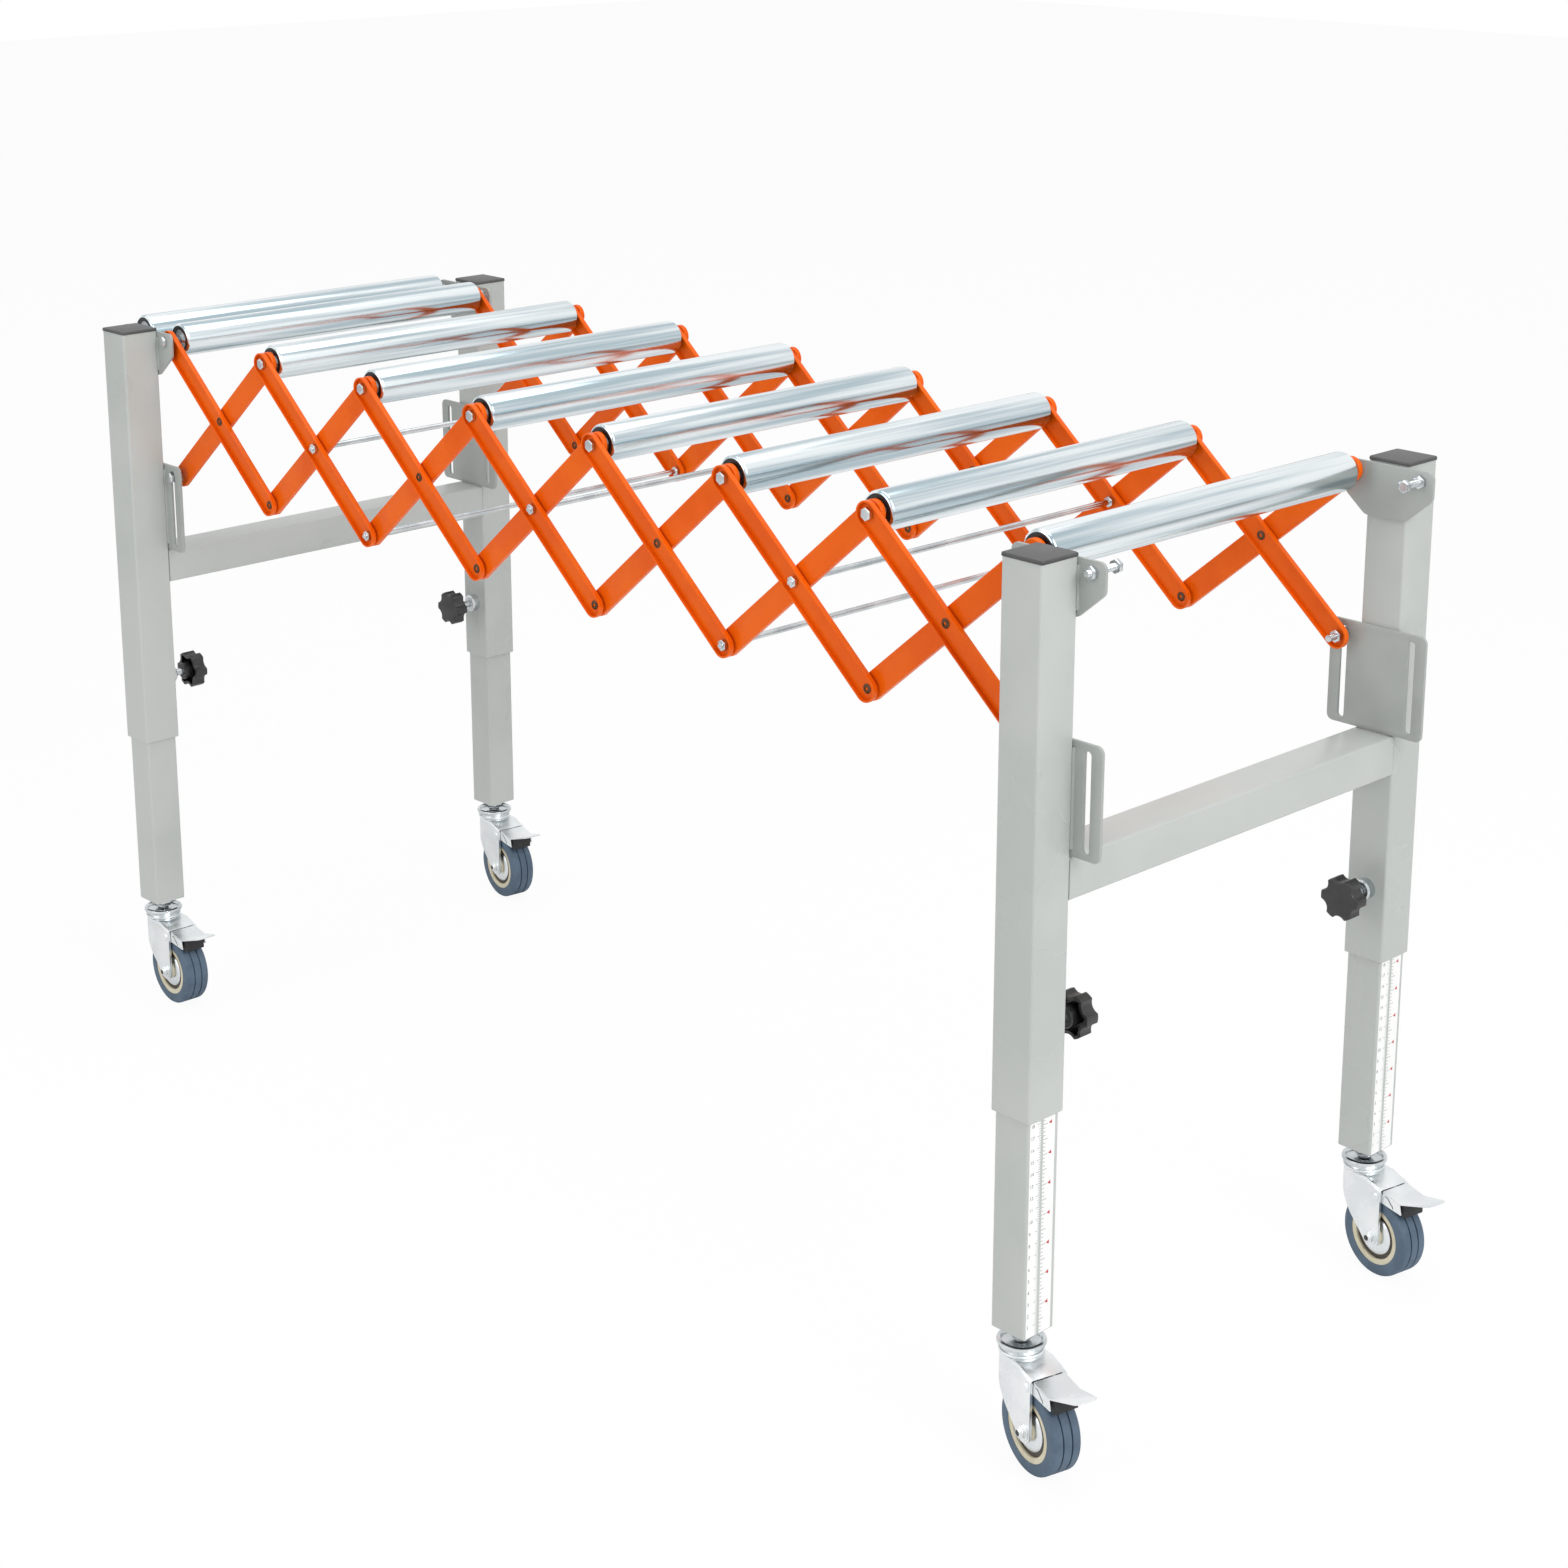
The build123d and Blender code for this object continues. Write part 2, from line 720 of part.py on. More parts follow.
def pedal_side():
    """The outline of the side flange that hangs the pedal on its pin."""
    ear_top = pedal_pivot_height + pedal_ear_radius
    flange = make_face(Polyline([
        (pedal_pivot_trail, ear_top),
        (fork_rear + pedal_gap, ear_top),
        (pedal_start + pedal_gap, pedal_start_height - pedal_sheet / 2),
        (pedal_bend, pedal_bend_height - pedal_sheet / 2),
        (pedal_side_end, pedal_side_height),
        (pedal_pivot_trail, pedal_pivot_height - pedal_ear_radius),
    ], close=True))
    flange += Pos(pedal_pivot_trail, pedal_pivot_height) * Circle(pedal_ear_radius)
    return flange - Pos(pedal_pivot_trail, pedal_pivot_height) * Circle(pedal_pin_radius + pin_clearance)


def pedal():
    """The brake pedal with its side flanges, and the rubber shoe under it."""
    body = pedal_plate()
    inner = pedal_half_width - pedal_sheet
    body += across(pedal_side(), inner, pedal_half_width)
    body += across(pedal_side(), -pedal_half_width, -inner)
    shoe = make_face(Polyline([
        (shoe_start, shoe_start_height),
        (shoe_start, pedal_underside(shoe_start)),
        (pedal_bend, pedal_underside(pedal_bend)),
        (shoe_end, pedal_underside(shoe_end)),
        (shoe_end, shoe_end_height),
    ], close=True))
    return [body, across(shoe, -shoe_half_width, shoe_half_width)]


def pedal_underside(place):
    """The height of the underside of the tread at a distance from the swivel axis."""
    if place < pedal_bend:
        share = (place - pedal_start) / (pedal_bend - pedal_start)
        height = pedal_start_height + share * (pedal_bend_height - pedal_start_height)
    else:
        share = (place - pedal_bend) / (pedal_tip - pedal_bend)
        height = pedal_bend_height + share * (pedal_tip_height - pedal_bend_height)
    return height - pedal_sheet


# The whole conveyor, node by node

def corner_places():
    """Each leg's name with its place and the side that it is on."""
    return {
        "near_left": (left_x, -1),
        "far_left": (left_x, 1),
        "near_right": (right_x, -1),
        "far_right": (right_x, 1),
    }


def build_nodes():
    """Every named node as a list of separate solids."""
    nodes = {}
    for name, frame_x in (("left", left_x), ("right", right_x)):
        nodes[name + "_frame_tubes"] = frame_tubes(frame_x)
        nodes[name + "_frame_plates"] = frame_plates(frame_x)
        nodes[name + "_post_caps"] = post_caps(frame_x)
        nodes[name + "_knob_bosses"] = knob_bosses(frame_x)
    first_axle = moved(plain_axle(), left_x - pivot_offset, pivot_height)
    second_axle = moved(frame_axle(1), pivot_x[0], pivot_height)
    nodes["left_roller_axles"] = first_axle + second_axle
    nodes["right_roller_axle"] = moved(frame_axle(-1), pivot_x[cell_count], pivot_height)
    bolts = coupling_bolt(1) + coupling_bolt(-1)
    nodes["right_coupling_bolts"] = moved(bolts, right_x + pivot_offset, pivot_height)
    for index in range(cell_count):
        nodes[f"falling_arms_{index + 1}"] = falling_arms(index)
        nodes[f"rising_arms_{index + 1}"] = rising_arms(index)
        if index:
            nodes[f"roller_axle_{index + 2}"] = moved(lattice_axle(), pivot_x[index], pivot_height)
    one_roller = roller()
    roller_places = [left_x - pivot_offset] + pivot_x
    for number, x in enumerate(roller_places, start=1):
        nodes[f"roller_{number}"] = moved(one_roller, x, pivot_height)
    caster = {"leg": leg(), "caster_fork": fork(), "caster_wheel": wheel(), "brake_pedal": pedal()}
    for corner, (x, side) in corner_places().items():
        nodes["clamp_knob_" + corner] = clamp_knob(x, side)
        for piece_name, pieces in caster.items():
            turn = 0 if piece_name == "leg" else caster_turns[corner]
            place = Pos(x, side * post_axis, 0) * Rot(0, 0, turn)
            nodes[piece_name + "_" + corner] = [place * piece for piece in pieces]
    return nodes


def write_nodes(nodes):
    """Centre the whole over the origin and write one file for each node."""
    os.makedirs("parts", exist_ok=True)
    solids = {}
    for name, pieces in nodes.items():
        solids[name] = [solid for piece in pieces for solid in piece.solids()]
    box = Compound(children=[solid for group in solids.values() for solid in group]).bounding_box()
    centre = Pos(-(box.min.X + box.max.X) / 2, -(box.min.Y + box.max.Y) / 2, 0)
    for name, group in solids.items():
        export_step(Compound(children=[centre * solid for solid in group]), f"parts/{name}.step")
    shift = centre.position
    print("left post axes at X", shift.X, "mid plane at Y", shift.Y, "overall", box.size)


write_nodes(build_nodes())
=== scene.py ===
# A folding roller conveyor on four telescopic legs with braked swivel casters, dressed in the
# order in which it is put together. Sizes are in millimetres from the left posts' axis (X),
# the middle of the rollers (Y) and the floor (Z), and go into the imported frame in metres.
import math

import bmesh
import bpy
from mathutils import Matrix, Vector


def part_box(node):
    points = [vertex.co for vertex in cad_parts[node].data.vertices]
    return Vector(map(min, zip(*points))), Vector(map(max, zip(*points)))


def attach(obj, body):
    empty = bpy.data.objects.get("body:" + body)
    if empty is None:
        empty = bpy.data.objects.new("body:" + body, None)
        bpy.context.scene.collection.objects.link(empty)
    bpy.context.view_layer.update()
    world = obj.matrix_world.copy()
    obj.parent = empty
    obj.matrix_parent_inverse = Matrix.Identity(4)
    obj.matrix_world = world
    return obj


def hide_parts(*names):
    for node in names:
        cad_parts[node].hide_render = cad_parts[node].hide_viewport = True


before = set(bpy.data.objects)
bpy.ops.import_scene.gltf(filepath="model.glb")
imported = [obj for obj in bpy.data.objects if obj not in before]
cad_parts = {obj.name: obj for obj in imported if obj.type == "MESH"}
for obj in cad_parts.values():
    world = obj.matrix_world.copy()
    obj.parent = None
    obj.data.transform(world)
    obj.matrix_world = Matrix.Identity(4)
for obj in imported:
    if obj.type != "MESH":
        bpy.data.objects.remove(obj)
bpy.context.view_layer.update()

# ------------------------------
# End frames: 40 mm square steel tube, 2 mm wall, saw cut, with a cross tube welded between
# the two posts of each end. The frame is powder coated light grey after welding, which
# gives an even, slightly rippled semi-gloss skin that softens the saw-cut edges.

frame_places = {"left": 0, "right": 1251}
post_width, post_wall, post_corner = 40, 2, 2.5
post_low, post_high, post_line, post_inside = 294, 734, 227.5, 207.5
cross_tube_height, cross_tube_middle = 35, 482.5
corner_facets, saw_edge = 4, 0.4
weld_half, weld_crest, weld_trough, weld_ripple = 17, 1.9, 1.672, 2.5

tubes_low, tubes_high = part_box("left_frame_tubes")
left_posts = (tubes_low + tubes_high) / 2
into_row = Matrix.Translation((left_posts.x, left_posts.y, 0)) @ Matrix.Scale(0.001, 4)
up_to_y = Matrix.Rotation(math.radians(-90), 4, "X")
smooth_to = math.radians(35)


def linear(hex_colour):
    """An sRGB hex colour as linear red, green, blue and alpha."""
    parts = [int(hex_colour[start:start + 2], 16) / 255 for start in (1, 3, 5)]
    return [v / 12.92 if v <= 0.04045 else ((v + 0.055) / 1.055) ** 2.4 for v in parts] + [1.0]


def add_node(tree, kind, sockets, **settings):
    """A shader node with its settings, its sockets given a value or another node's output."""
    node = tree.nodes.new("ShaderNode" + kind)
    for setting, value in settings.items():
        setattr(node, setting, value)
    for socket, value in sockets.items():
        if isinstance(value, bpy.types.NodeSocket):
            tree.links.new(value, node.inputs[socket])
        else:
            node.inputs[socket].default_value = value
    return node


def new_finish(name, tones, patch, gloss, grain, depth, stretch=(1, 1, 1), **steady):
    """A finish whose tone and roughness drift over patches, under a grain, both sized in mm."""
    material = bpy.data.materials.new(name)
    material.use_nodes = True
    tree = material.node_tree
    shader = tree.nodes["Principled BSDF"]
    place = add_node(tree, "TexCoord", {}).outputs["Object"]
    drawn = add_node(tree, "Mapping", {"Vector": place, "Scale": stretch}).outputs["Vector"]
    drift = add_node(tree, "TexNoise",
                     {"Vector": drawn, "Scale": 1000 / patch, "Detail": 3.0}).outputs["Fac"]
    tone = add_node(tree, "ValToRGB", {"Fac": drift})
    tone.color_ramp.interpolation = "EASE"
    for stop, share, colour in zip(tone.color_ramp.elements, (0.35, 0.65), tones):
        stop.position = share
        stop.color = linear(colour)
    rough = add_node(
        tree, "MapRange",
        {"Value": drift, "From Min": 0.3, "From Max": 0.7, "To Min": gloss[0], "To Max": gloss[1]},
        interpolation_type="SMOOTHSTEP")
    fine = add_node(tree, "TexNoise", {"Vector": drawn, "Scale": 1000 / grain, "Detail": 2.0})
    relief = add_node(tree, "Bump", {"Height": fine.outputs["Fac"], "Distance": depth / 1000})
    for socket, node in {"Base Color": tone, "Roughness": rough, "Normal": relief}.items():
        tree.links.new(node.outputs[0], shader.inputs[socket])
    for socket, value in steady.items():
        shader.inputs[socket.replace("_", " ")].default_value = value
    return material


# Powder coat: polyester over steel. Ripple of a few mm, drawn coarser than the real 1 mm.
grey_powder_coat = new_finish(
    "light_grey_powder_coat", ("#B5BAB7", "#BDC1BE"), patch=140, gloss=(0.26, 0.34), grain=4,
    depth=0.012)


def at(x=0, y=0, z=0, side=1):
    """A place, as made for the far side (1) and turned half round for the near side (-1)."""
    place = Matrix.Translation((x, y, z))
    return place if side > 0 else place @ Matrix.Rotation(math.pi, 4, "Z")


def rounded(part, geom, width, segments, affect="EDGES"):
    """Rounds edges of a part, or corner points of a flat blank."""
    bmesh.ops.bevel(part, geom=geom, offset=width, offset_type="OFFSET", segments=segments,
                    profile=0.5, affect=affect, material=-1, clamp_overlap=affect == "EDGES")


def soften(part, width, segments=2, turn=40):
    """Rounds every edge of a part that turns by more than an angle."""
    bmesh.ops.recalc_face_normals(part, faces=part.faces)
    rounded(part, [edge for edge in part.edges if len(edge.link_faces) == 2
                   and edge.calc_face_angle() > math.radians(turn)], width, segments)


def round_where(part, test, width, segments):
    """Rounds the edges of a part whose points both pass a test."""
    rounded(part, [edge for edge in part.edges if all(test(point.co) for point in edge.verts)],
            width, segments)


def shifted(part, grown, reach):
    """Moves the points of a fresh extrusion by a vector and returns its faces."""
    points = [item for item in grown if isinstance(item, bmesh.types.BMVert)]
    bmesh.ops.translate(part, vec=reach, verts=points)
    return [item for item in grown if isinstance(item, bmesh.types.BMFace)]


def raised(part, faces, reach):
    """Extrudes flat faces by a vector and returns the moved faces."""
    around = list(dict.fromkeys(edge for face in faces for edge in face.edges))
    grown = bmesh.ops.extrude_face_region(part, geom=faces + around)["geom"]
    return shifted(part, grown, reach)


def flat(points):
    """A flat blank from its corner points."""
    part = bmesh.new()
    part.faces.new([part.verts.new(point) for point in points])
    return part


def square_blank(width, height, corner):
    """A flat oblong blank at Z = 0 with rounded corners."""
    part = bmesh.new()
    bmesh.ops.create_grid(part, x_segments=1, y_segments=1, size=width / 2)
    bmesh.ops.scale(part, vec=(1, height / width, 1), verts=part.verts)
    rounded(part, part.verts[:], corner, corner_facets, "VERTICES")
    return part


def square_tube(width, height, corner, wall, length):
    """A square tube with rounded corners that stands on Z = 0, open at both ends."""
    part = square_blank(width, height, corner)
    middle = part.faces[:]
    bmesh.ops.inset_region(part, faces=middle, thickness=wall, use_even_offset=True,
                           use_boundary=True)
    bmesh.ops.delete(part, geom=middle, context="FACES")
    raised(part, part.faces[:], (0, 0, length))
    soften(part, saw_edge, segments=1)
    return part


def turned(profile, steps=32):
    """A solid turned about Y from (radius, place along Y) points, closed or with its ends on Y."""
    part = bmesh.new()
    points = [part.verts.new((radius, along, 0)) for radius, along in profile]
    edges = [part.edges.new(pair) for pair in zip(points, points[1:])]
    if profile[0][0] > 0:
        edges.append(part.edges.new((points[-1], points[0])))
    bmesh.ops.spin(part, geom=points + edges, cent=(0, 0, 0), axis=(0, 1, 0), angle=2 * math.pi,
                   steps=steps, use_merge=True)
    bmesh.ops.remove_doubles(part, verts=part.verts, dist=0.0001)
    return part


def ribbed(first, second, low, high, pitch):
    """A bar along Y whose radius changes from rib to rib, as a profile to turn."""
    count = round((high - low) / pitch)
    ribs = [(second if step % 2 else first, low + (high - low) * (step + 0.5) / count)
            for step in range(count)]
    return [(0, low)] + ribs + [(0, high)]


def as_mesh(part, name="part"):
    """A bmesh as a mesh."""
    mesh = bpy.data.meshes.new(name)
    part.to_mesh(mesh)
    part.free()
    return mesh


def kept(part, finish=0):
    """A finished part as a mesh, with the number of its finish on every face."""
    bmesh.ops.recalc_face_normals(part, faces=part.faces)
    for face in part.faces:
        face.material_index = finish
    return as_mesh(part)


def put(piece, mesh, place=at()):
    """Sets a kept part into a piece at its place."""
    first = len(piece.verts)
    piece.from_mesh(mesh)
    piece.verts.ensure_lookup_table()
    bmesh.ops.transform(piece, matrix=place, verts=piece.verts[first:])


def weld(piece, start, end):
    """A run of weld bead between two points, rippled as the torch left it."""
    run = Vector(end) - Vector(start)
    bead = turned(ribbed(weld_trough, weld_crest, 0, run.length, weld_ripple), 10)
    put(piece, kept(bead), at(*start) @ run.to_track_quat("Y", "Z").to_matrix().to_4x4())


def new_object(name, data):
    """An object of the scene that shows a mesh, a lamp or the camera."""
    made = bpy.data.objects.new(name, data)
    bpy.context.scene.collection.objects.link(made)
    return made


def fit(name, piece, finishes, body, slot, *nodes):
    """Puts a piece into the row frame, on its body, in place of its CAD nodes."""
    mesh = as_mesh(piece, name)
    mesh.transform(into_row)
    mesh.shade_smooth()
    mesh.set_sharp_from_angle(angle=smooth_to)
    for finish in finishes:
        mesh.materials.append(finish)
    made = new_object(name, mesh)
    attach(made, body)
    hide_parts(*nodes)


post = kept(square_tube(post_width, post_width, post_corner, post_wall, post_high - post_low))
cross_tube = kept(square_tube(post_width, cross_tube_height, post_corner, post_wall,
                              2 * post_inside))
for end, x in frame_places.items():
    tubes = bmesh.new()
    for side in (-1, 1):
        put(tubes, post, at(x, side * post_line, post_low))
        for edge in (-cross_tube_height / 2, cross_tube_height / 2):
            weld(tubes, (x - weld_half, side * post_inside, cross_tube_middle + edge),
                 (x + weld_half, side * post_inside, cross_tube_middle + edge))
    put(tubes, cross_tube, at(x, -post_inside, cross_tube_middle) @ up_to_y)
    fit(end + "_posts_and_cross_tube", tubes, [grey_powder_coat], end + "_frame",
        "powder_coated_tube", end + "_frame_tubes")

# ------------------------------
# Brackets and guide plates: 3 mm sheet, punched out with rounded corners and deburred, then
# welded to the inside of the posts and coated with them. The guide plates have a long slot
# on each side of the post, in which the end pivots of the lattice slide.

plate_thickness, plate_edge, plate_corner_facets = 3, 0.5, 6
bracket_corners = ((46, 733, 6), (46, 709, 3), (20, 687, 3), (-20, 687, 3), (-46, 709, 3),
                   (-46, 733, 6))
guide_low, guide_high, guide_half, guide_corner = 501, 593, 48, 6
slot_offset, slot_width, slot_low, slot_high = 34, 6.5, 506, 587
bracket_weld, guide_weld = (692, 728), (506, 588)
y_to_up = Matrix.Rotation(math.radians(90), 4, "X")

# Powder coat on the flat blanks: the same paint, given a darker tone as painted shade on the
# sheet.
plate_powder_coat_painted_shade = new_finish(
    "grey_powder_coat_painted_shade_on_sheet", ("#A0A5A2", "#A9AEAB"), patch=70, gloss=(0.3, 0.4), grain=4,
    depth=0.012)


def blank(corners):
    """A flat blank in X and Z at Y = 0 from (x, z, corner radius) points."""
    part = flat([(x, 0, z) for x, z, radius in corners])
    for point, (x, z, radius) in zip(part.verts[:], corners):
        rounded(part, [point], radius, plate_corner_facets, "VERTICES")
    return part


def plate(part):
    """A flat blank given its thickness and deburred."""
    raised(part, part.faces[:], (0, plate_thickness, 0))
    soften(part, plate_edge)
    return kept(part)


def long_hole(part, x, segments=24):
    """The outline of an upright guide slot with round ends, in X and Z."""
    middle, half = (slot_low + slot_high) / 2, (slot_high - slot_low - slot_width) / 2
    turn = Matrix.Rotation(math.pi / segments, 4, "Z")
    outline = bmesh.ops.create_circle(
        part, cap_ends=False, segments=segments, radius=slot_width / 2,
        matrix=at(x, 0, middle) @ y_to_up @ turn)["verts"]
    for point in outline:
        point.co.z += half if point.co.z > middle else -half


bracket = plate(blank(bracket_corners))
guide = blank([(way * guide_half, z, guide_corner) for way, z in (
    (1, guide_high), (1, guide_low), (-1, guide_low), (-1, guide_high))])
for x in (-slot_offset, slot_offset):
    long_hole(guide, x)
bmesh.ops.delete(guide, geom=guide.faces[:], context="FACES_ONLY")
bmesh.ops.triangle_fill(guide, use_beauty=True, edges=guide.edges[:], normal=(0, 1, 0))
guide = plate(guide)

for end, x in frame_places.items():
    plates = bmesh.new()
    for side in (-1, 1):
        inner = min(side * post_inside, side * (post_inside - plate_thickness))
        put(plates, bracket, at(x, inner))
        put(plates, guide, at(x, inner))
        for edge in (x - post_width / 2, x + post_width / 2):
            for low, high in (bracket_weld, guide_weld):
                weld(plates, (edge, side * post_inside, low), (edge, side * post_inside, high))
    fit(end + "_brackets_and_guides", plates, [plate_powder_coat_painted_shade], end + "_frame",
        "powder_coated_tube", end + "_frame_plates")

# ------------------------------
# Post caps: injection-moulded polyethylene, dark grey with a fine matt grain, pushed into
# the post tops on a ribbed plug. The rim stands just proud of the tube all round.

cap_width, cap_height, cap_corner, cap_round = 41.2, 3, 2.5, 1.4
cap_plug_width, cap_plug_depth = 35.6, 14

# Moulded polyethylene: spark-eroded mould grain of about 0.5 mm, drawn at 1.5 mm.
dark_grey_polyethylene = new_finish(
    "dark_grey_polyethylene", ("#3F3F40", "#4C4C4D"), patch=25, gloss=(0.42, 0.55), grain=1.5,
    depth=0.02, IOR=1.51)

cap = square_tube(cap_plug_width, cap_plug_width, cap_corner, post_wall, cap_plug_depth)
bmesh.ops.translate(cap, vec=(0, 0, -cap_plug_depth), verts=cap.verts)
lid = square_blank(cap_width, cap_width, cap_corner)
raised(lid, lid.faces[:], (0, 0, cap_height))
round_where(lid, lambda place: place.z > cap_height / 2, cap_round, 3)
put(cap, kept(lid))
cap = kept(cap)
for end, x in frame_places.items():
    caps = bmesh.new()
    for side in (-1, 1):
        put(caps, cap, at(x, side * post_line, post_high))
    fit(end + "_moulded_caps", caps, [dark_grey_polyethylene], end + "_frame", "cap_plastic",
        end + "_post_caps")

# ------------------------------
# Bolts, nuts, washers, rivets and rods: steel, barrel zinc plated bright. The plating is a
# few microns thick, so it looks like clean metal with a faint blue and soft cloudy gloss.

bolt_radius, bolt_root, bolt_step, hexagon_flats, hexagon_height = 3, 2.65, 1, 10, 4
bolt_face_radius, bolt_face_sunk, bolt_face_proud = 3.9, 1, 0.25
washer_radius, washer_bore, washer_edge = 6.5, 3.06, 0.3
inner_web, outer_web, arm_sheet, fit_gap = 197.0, 198.5, 1.6, 0.1
plate_inside, plate_outside = 204.5, 207.5

# Zinc plate: metal, so its colour is its reflection. Cloudiness of a few mm.
bright_zinc_plate = new_finish(
    "bright_zinc_plate", ("#C0C6C9", "#D6DADC"), patch=25, gloss=(0.18, 0.26), grain=4,
    depth=0.004, Metallic=1.0)


def hexagon(low, high, flats=hexagon_flats, rounding=0.45):
    """A hexagon along Y between two faces."""
    part = bmesh.new()
    radius = flats / 2 / math.cos(math.pi / 6)
    bmesh.ops.create_cone(
        part, cap_ends=True, cap_tris=False, segments=6, radius1=radius, radius2=radius,
        depth=high - low, matrix=at(0, (low + high) / 2) @ up_to_y)
    soften(part, rounding)
    return part


def both_ends(half, low, high):
    """A profile to turn that is alike at both ends, from (radius, distance outwards) points."""
    return ([(radius, low - out) for radius, out in half]
            + [(radius, high + out) for radius, out in reversed(half)])


def bar(radius, low, high, edge=0.5, bore=0):
    """A round bar along Y, or a ring if it has a bore, with broken edges, as a profile."""
    return both_ends([(bore, 0), (radius - edge, 0), (radius, -edge)], low, high)


def washer(low, high):
    """A washer or spacer on a bolt, between two faces."""
    return turned(bar(washer_radius, low, high, washer_edge, washer_bore))


def assembled(*parts):
    """Several parts as one kept mesh, with the finish number of each."""
    whole = bmesh.new()
    for part, finish in parts:
        put(whole, kept(part, finish))
    return as_mesh(whole)


def bolt_head(seat, finish):
    """A hexagon head with its round bolt face and its raised end."""
    return [(hexagon(seat, seat + hexagon_height), finish),
            (turned(bar(bolt_face_radius, seat + bolt_face_sunk,
                        seat + hexagon_height + bolt_face_proud, bolt_face_proud), 24), finish)]


# ------------------------------
# Lattice arms: 1.6 mm strip pressed into shallow channels with round ends, stove enamelled
# orange. The enamel is thick and glossy, so edges catch a pale line of light.

arm_length, arm_width, arm_depth, arm_bend, arm_lip, arm_facets = 222, 22, 5.5, 1.4, 0.35, 32
pitch, cell_count, first_pivot, top_level = 169, 7, 34, 724
drop = math.sqrt(arm_length ** 2 - pitch ** 2)
slope, foot_level = math.asin(drop / arm_length), top_level - drop
rivet_head, rivet_edge, rivet_rim, rivet_bore, rivet_cup = 4.1, 0.4, 1.2, 1.7, 0.2
rod_radius, rod_chamfer, rod_nut_flats, rod_nut_height, rod_end = 2.75, 1, 9, 3.5, 2.5
foot_rod_cells = (1, 4)
slide_gap, slot_bolt_end = 0.3, 14
on_web = 0.001

# Stove enamel: alkyd over steel under a clear gloss, with a slight flow ripple of about 9 mm.
orange_enamel = new_finish(
    "orange_stove_enamel", ("#E65C06", "#EE660C"), patch=60, gloss=(0.22, 0.3), grain=9,
    depth=0.006, Coat_Weight=0.07, Coat_Roughness=0.12, Specular_IOR_Level=0.12)
# Rivet steel: browned in the paint oven, dull against the enamel.
browned_steel = new_finish(
    "oven_browned_rivet_steel", ("#54402F", "#6B5444"), patch=6, gloss=(0.35, 0.5), grain=1,
    depth=0.005, Metallic=1.0)

channel = bmesh.new()
bmesh.ops.create_circle(channel, cap_ends=True, segments=arm_facets, radius=arm_width / 2,
                        matrix=y_to_up @ Matrix.Rotation(math.pi / arm_facets, 4, "Z"))
far_end = [point for point in channel.verts if point.co.x > 0]
bmesh.ops.translate(channel, vec=(arm_length, 0, 0), verts=far_end)
open_face = raised(channel, channel.faces[:], (0, -arm_depth, 0))
bmesh.ops.inset_region(channel, faces=open_face, thickness=arm_sheet, use_even_offset=True)
raised(channel, open_face, (0, arm_depth - arm_sheet, 0))
bmesh.ops.recalc_face_normals(channel, faces=channel.faces)
round_where(channel, lambda place: abs(place.y) < on_web, arm_bend, 4)
round_where(channel, lambda place: place.y < on_web - arm_depth, arm_lip, 1)
channel = kept(channel)

rivet_low, rivet_high = inner_web - arm_sheet, outer_web + arm_sheet + fit_gap
gap_between_arms = (inner_web + fit_gap, outer_web - fit_gap)
rivet_shape = both_ends([
    (0, rivet_cup), (rivet_bore, rivet_cup), (rivet_bore, rivet_rim), (rivet_head - 1, rivet_rim),
    (rivet_head, rivet_edge), (rivet_head, 0), (bolt_radius, 0)], rivet_low, rivet_high)
rivet_fill = bar(rivet_bore - 0.05, rivet_low - 0.5, rivet_high + 0.5, rivet_cup)
rivet = assembled((turned(rivet_shape), 2), (turned(rivet_fill, 16), 0),
                  (washer(*gap_between_arms), 1))

nut_outer, nut_inner = outer_web + arm_sheet + fit_gap, inner_web - arm_sheet - fit_gap
rod_tip = nut_outer + rod_nut_height + rod_end
tie_rod = kept(turned(bar(rod_radius, -rod_tip, rod_tip, rod_chamfer), 24), 1)
rod_nuts = assembled(
    (hexagon(nut_outer, nut_outer + rod_nut_height, rod_nut_flats), 1),
    (hexagon(nut_inner - rod_nut_height, nut_inner, rod_nut_flats), 1),
    (washer(*gap_between_arms), 1))


def put_pivot(piece, x, z, with_rod):
    """A tie rod with its nuts or a pair of hollow rivets, and the washers between the arms."""
    if with_rod:
        put(piece, tie_rod, at(x, 0, z))
    for side in (-1, 1):
        put(piece, rod_nuts if with_rod else rivet, at(x, 0, z, side))


def put_slot_bolts(piece, x, far_web, near_web):
    """The bolt, spacer and nut of the two end pivots that slide in the guide slots."""
    seat = plate_outside + slide_gap
    for side, web in ((1, far_web), (-1, near_web)):
        back = web - arm_sheet
        shank = ribbed(bolt_radius, bolt_root, back - slot_bolt_end, seat, bolt_step)
        bolt = assembled(
            *bolt_head(seat, 1), (turned(shank, 20), 1),
            (washer(web + fit_gap, plate_inside - slide_gap), 1),
            (hexagon(back - fit_gap - hexagon_height, back - fit_gap), 1))
        put(piece, bolt, at(x, 0, foot_level, side))


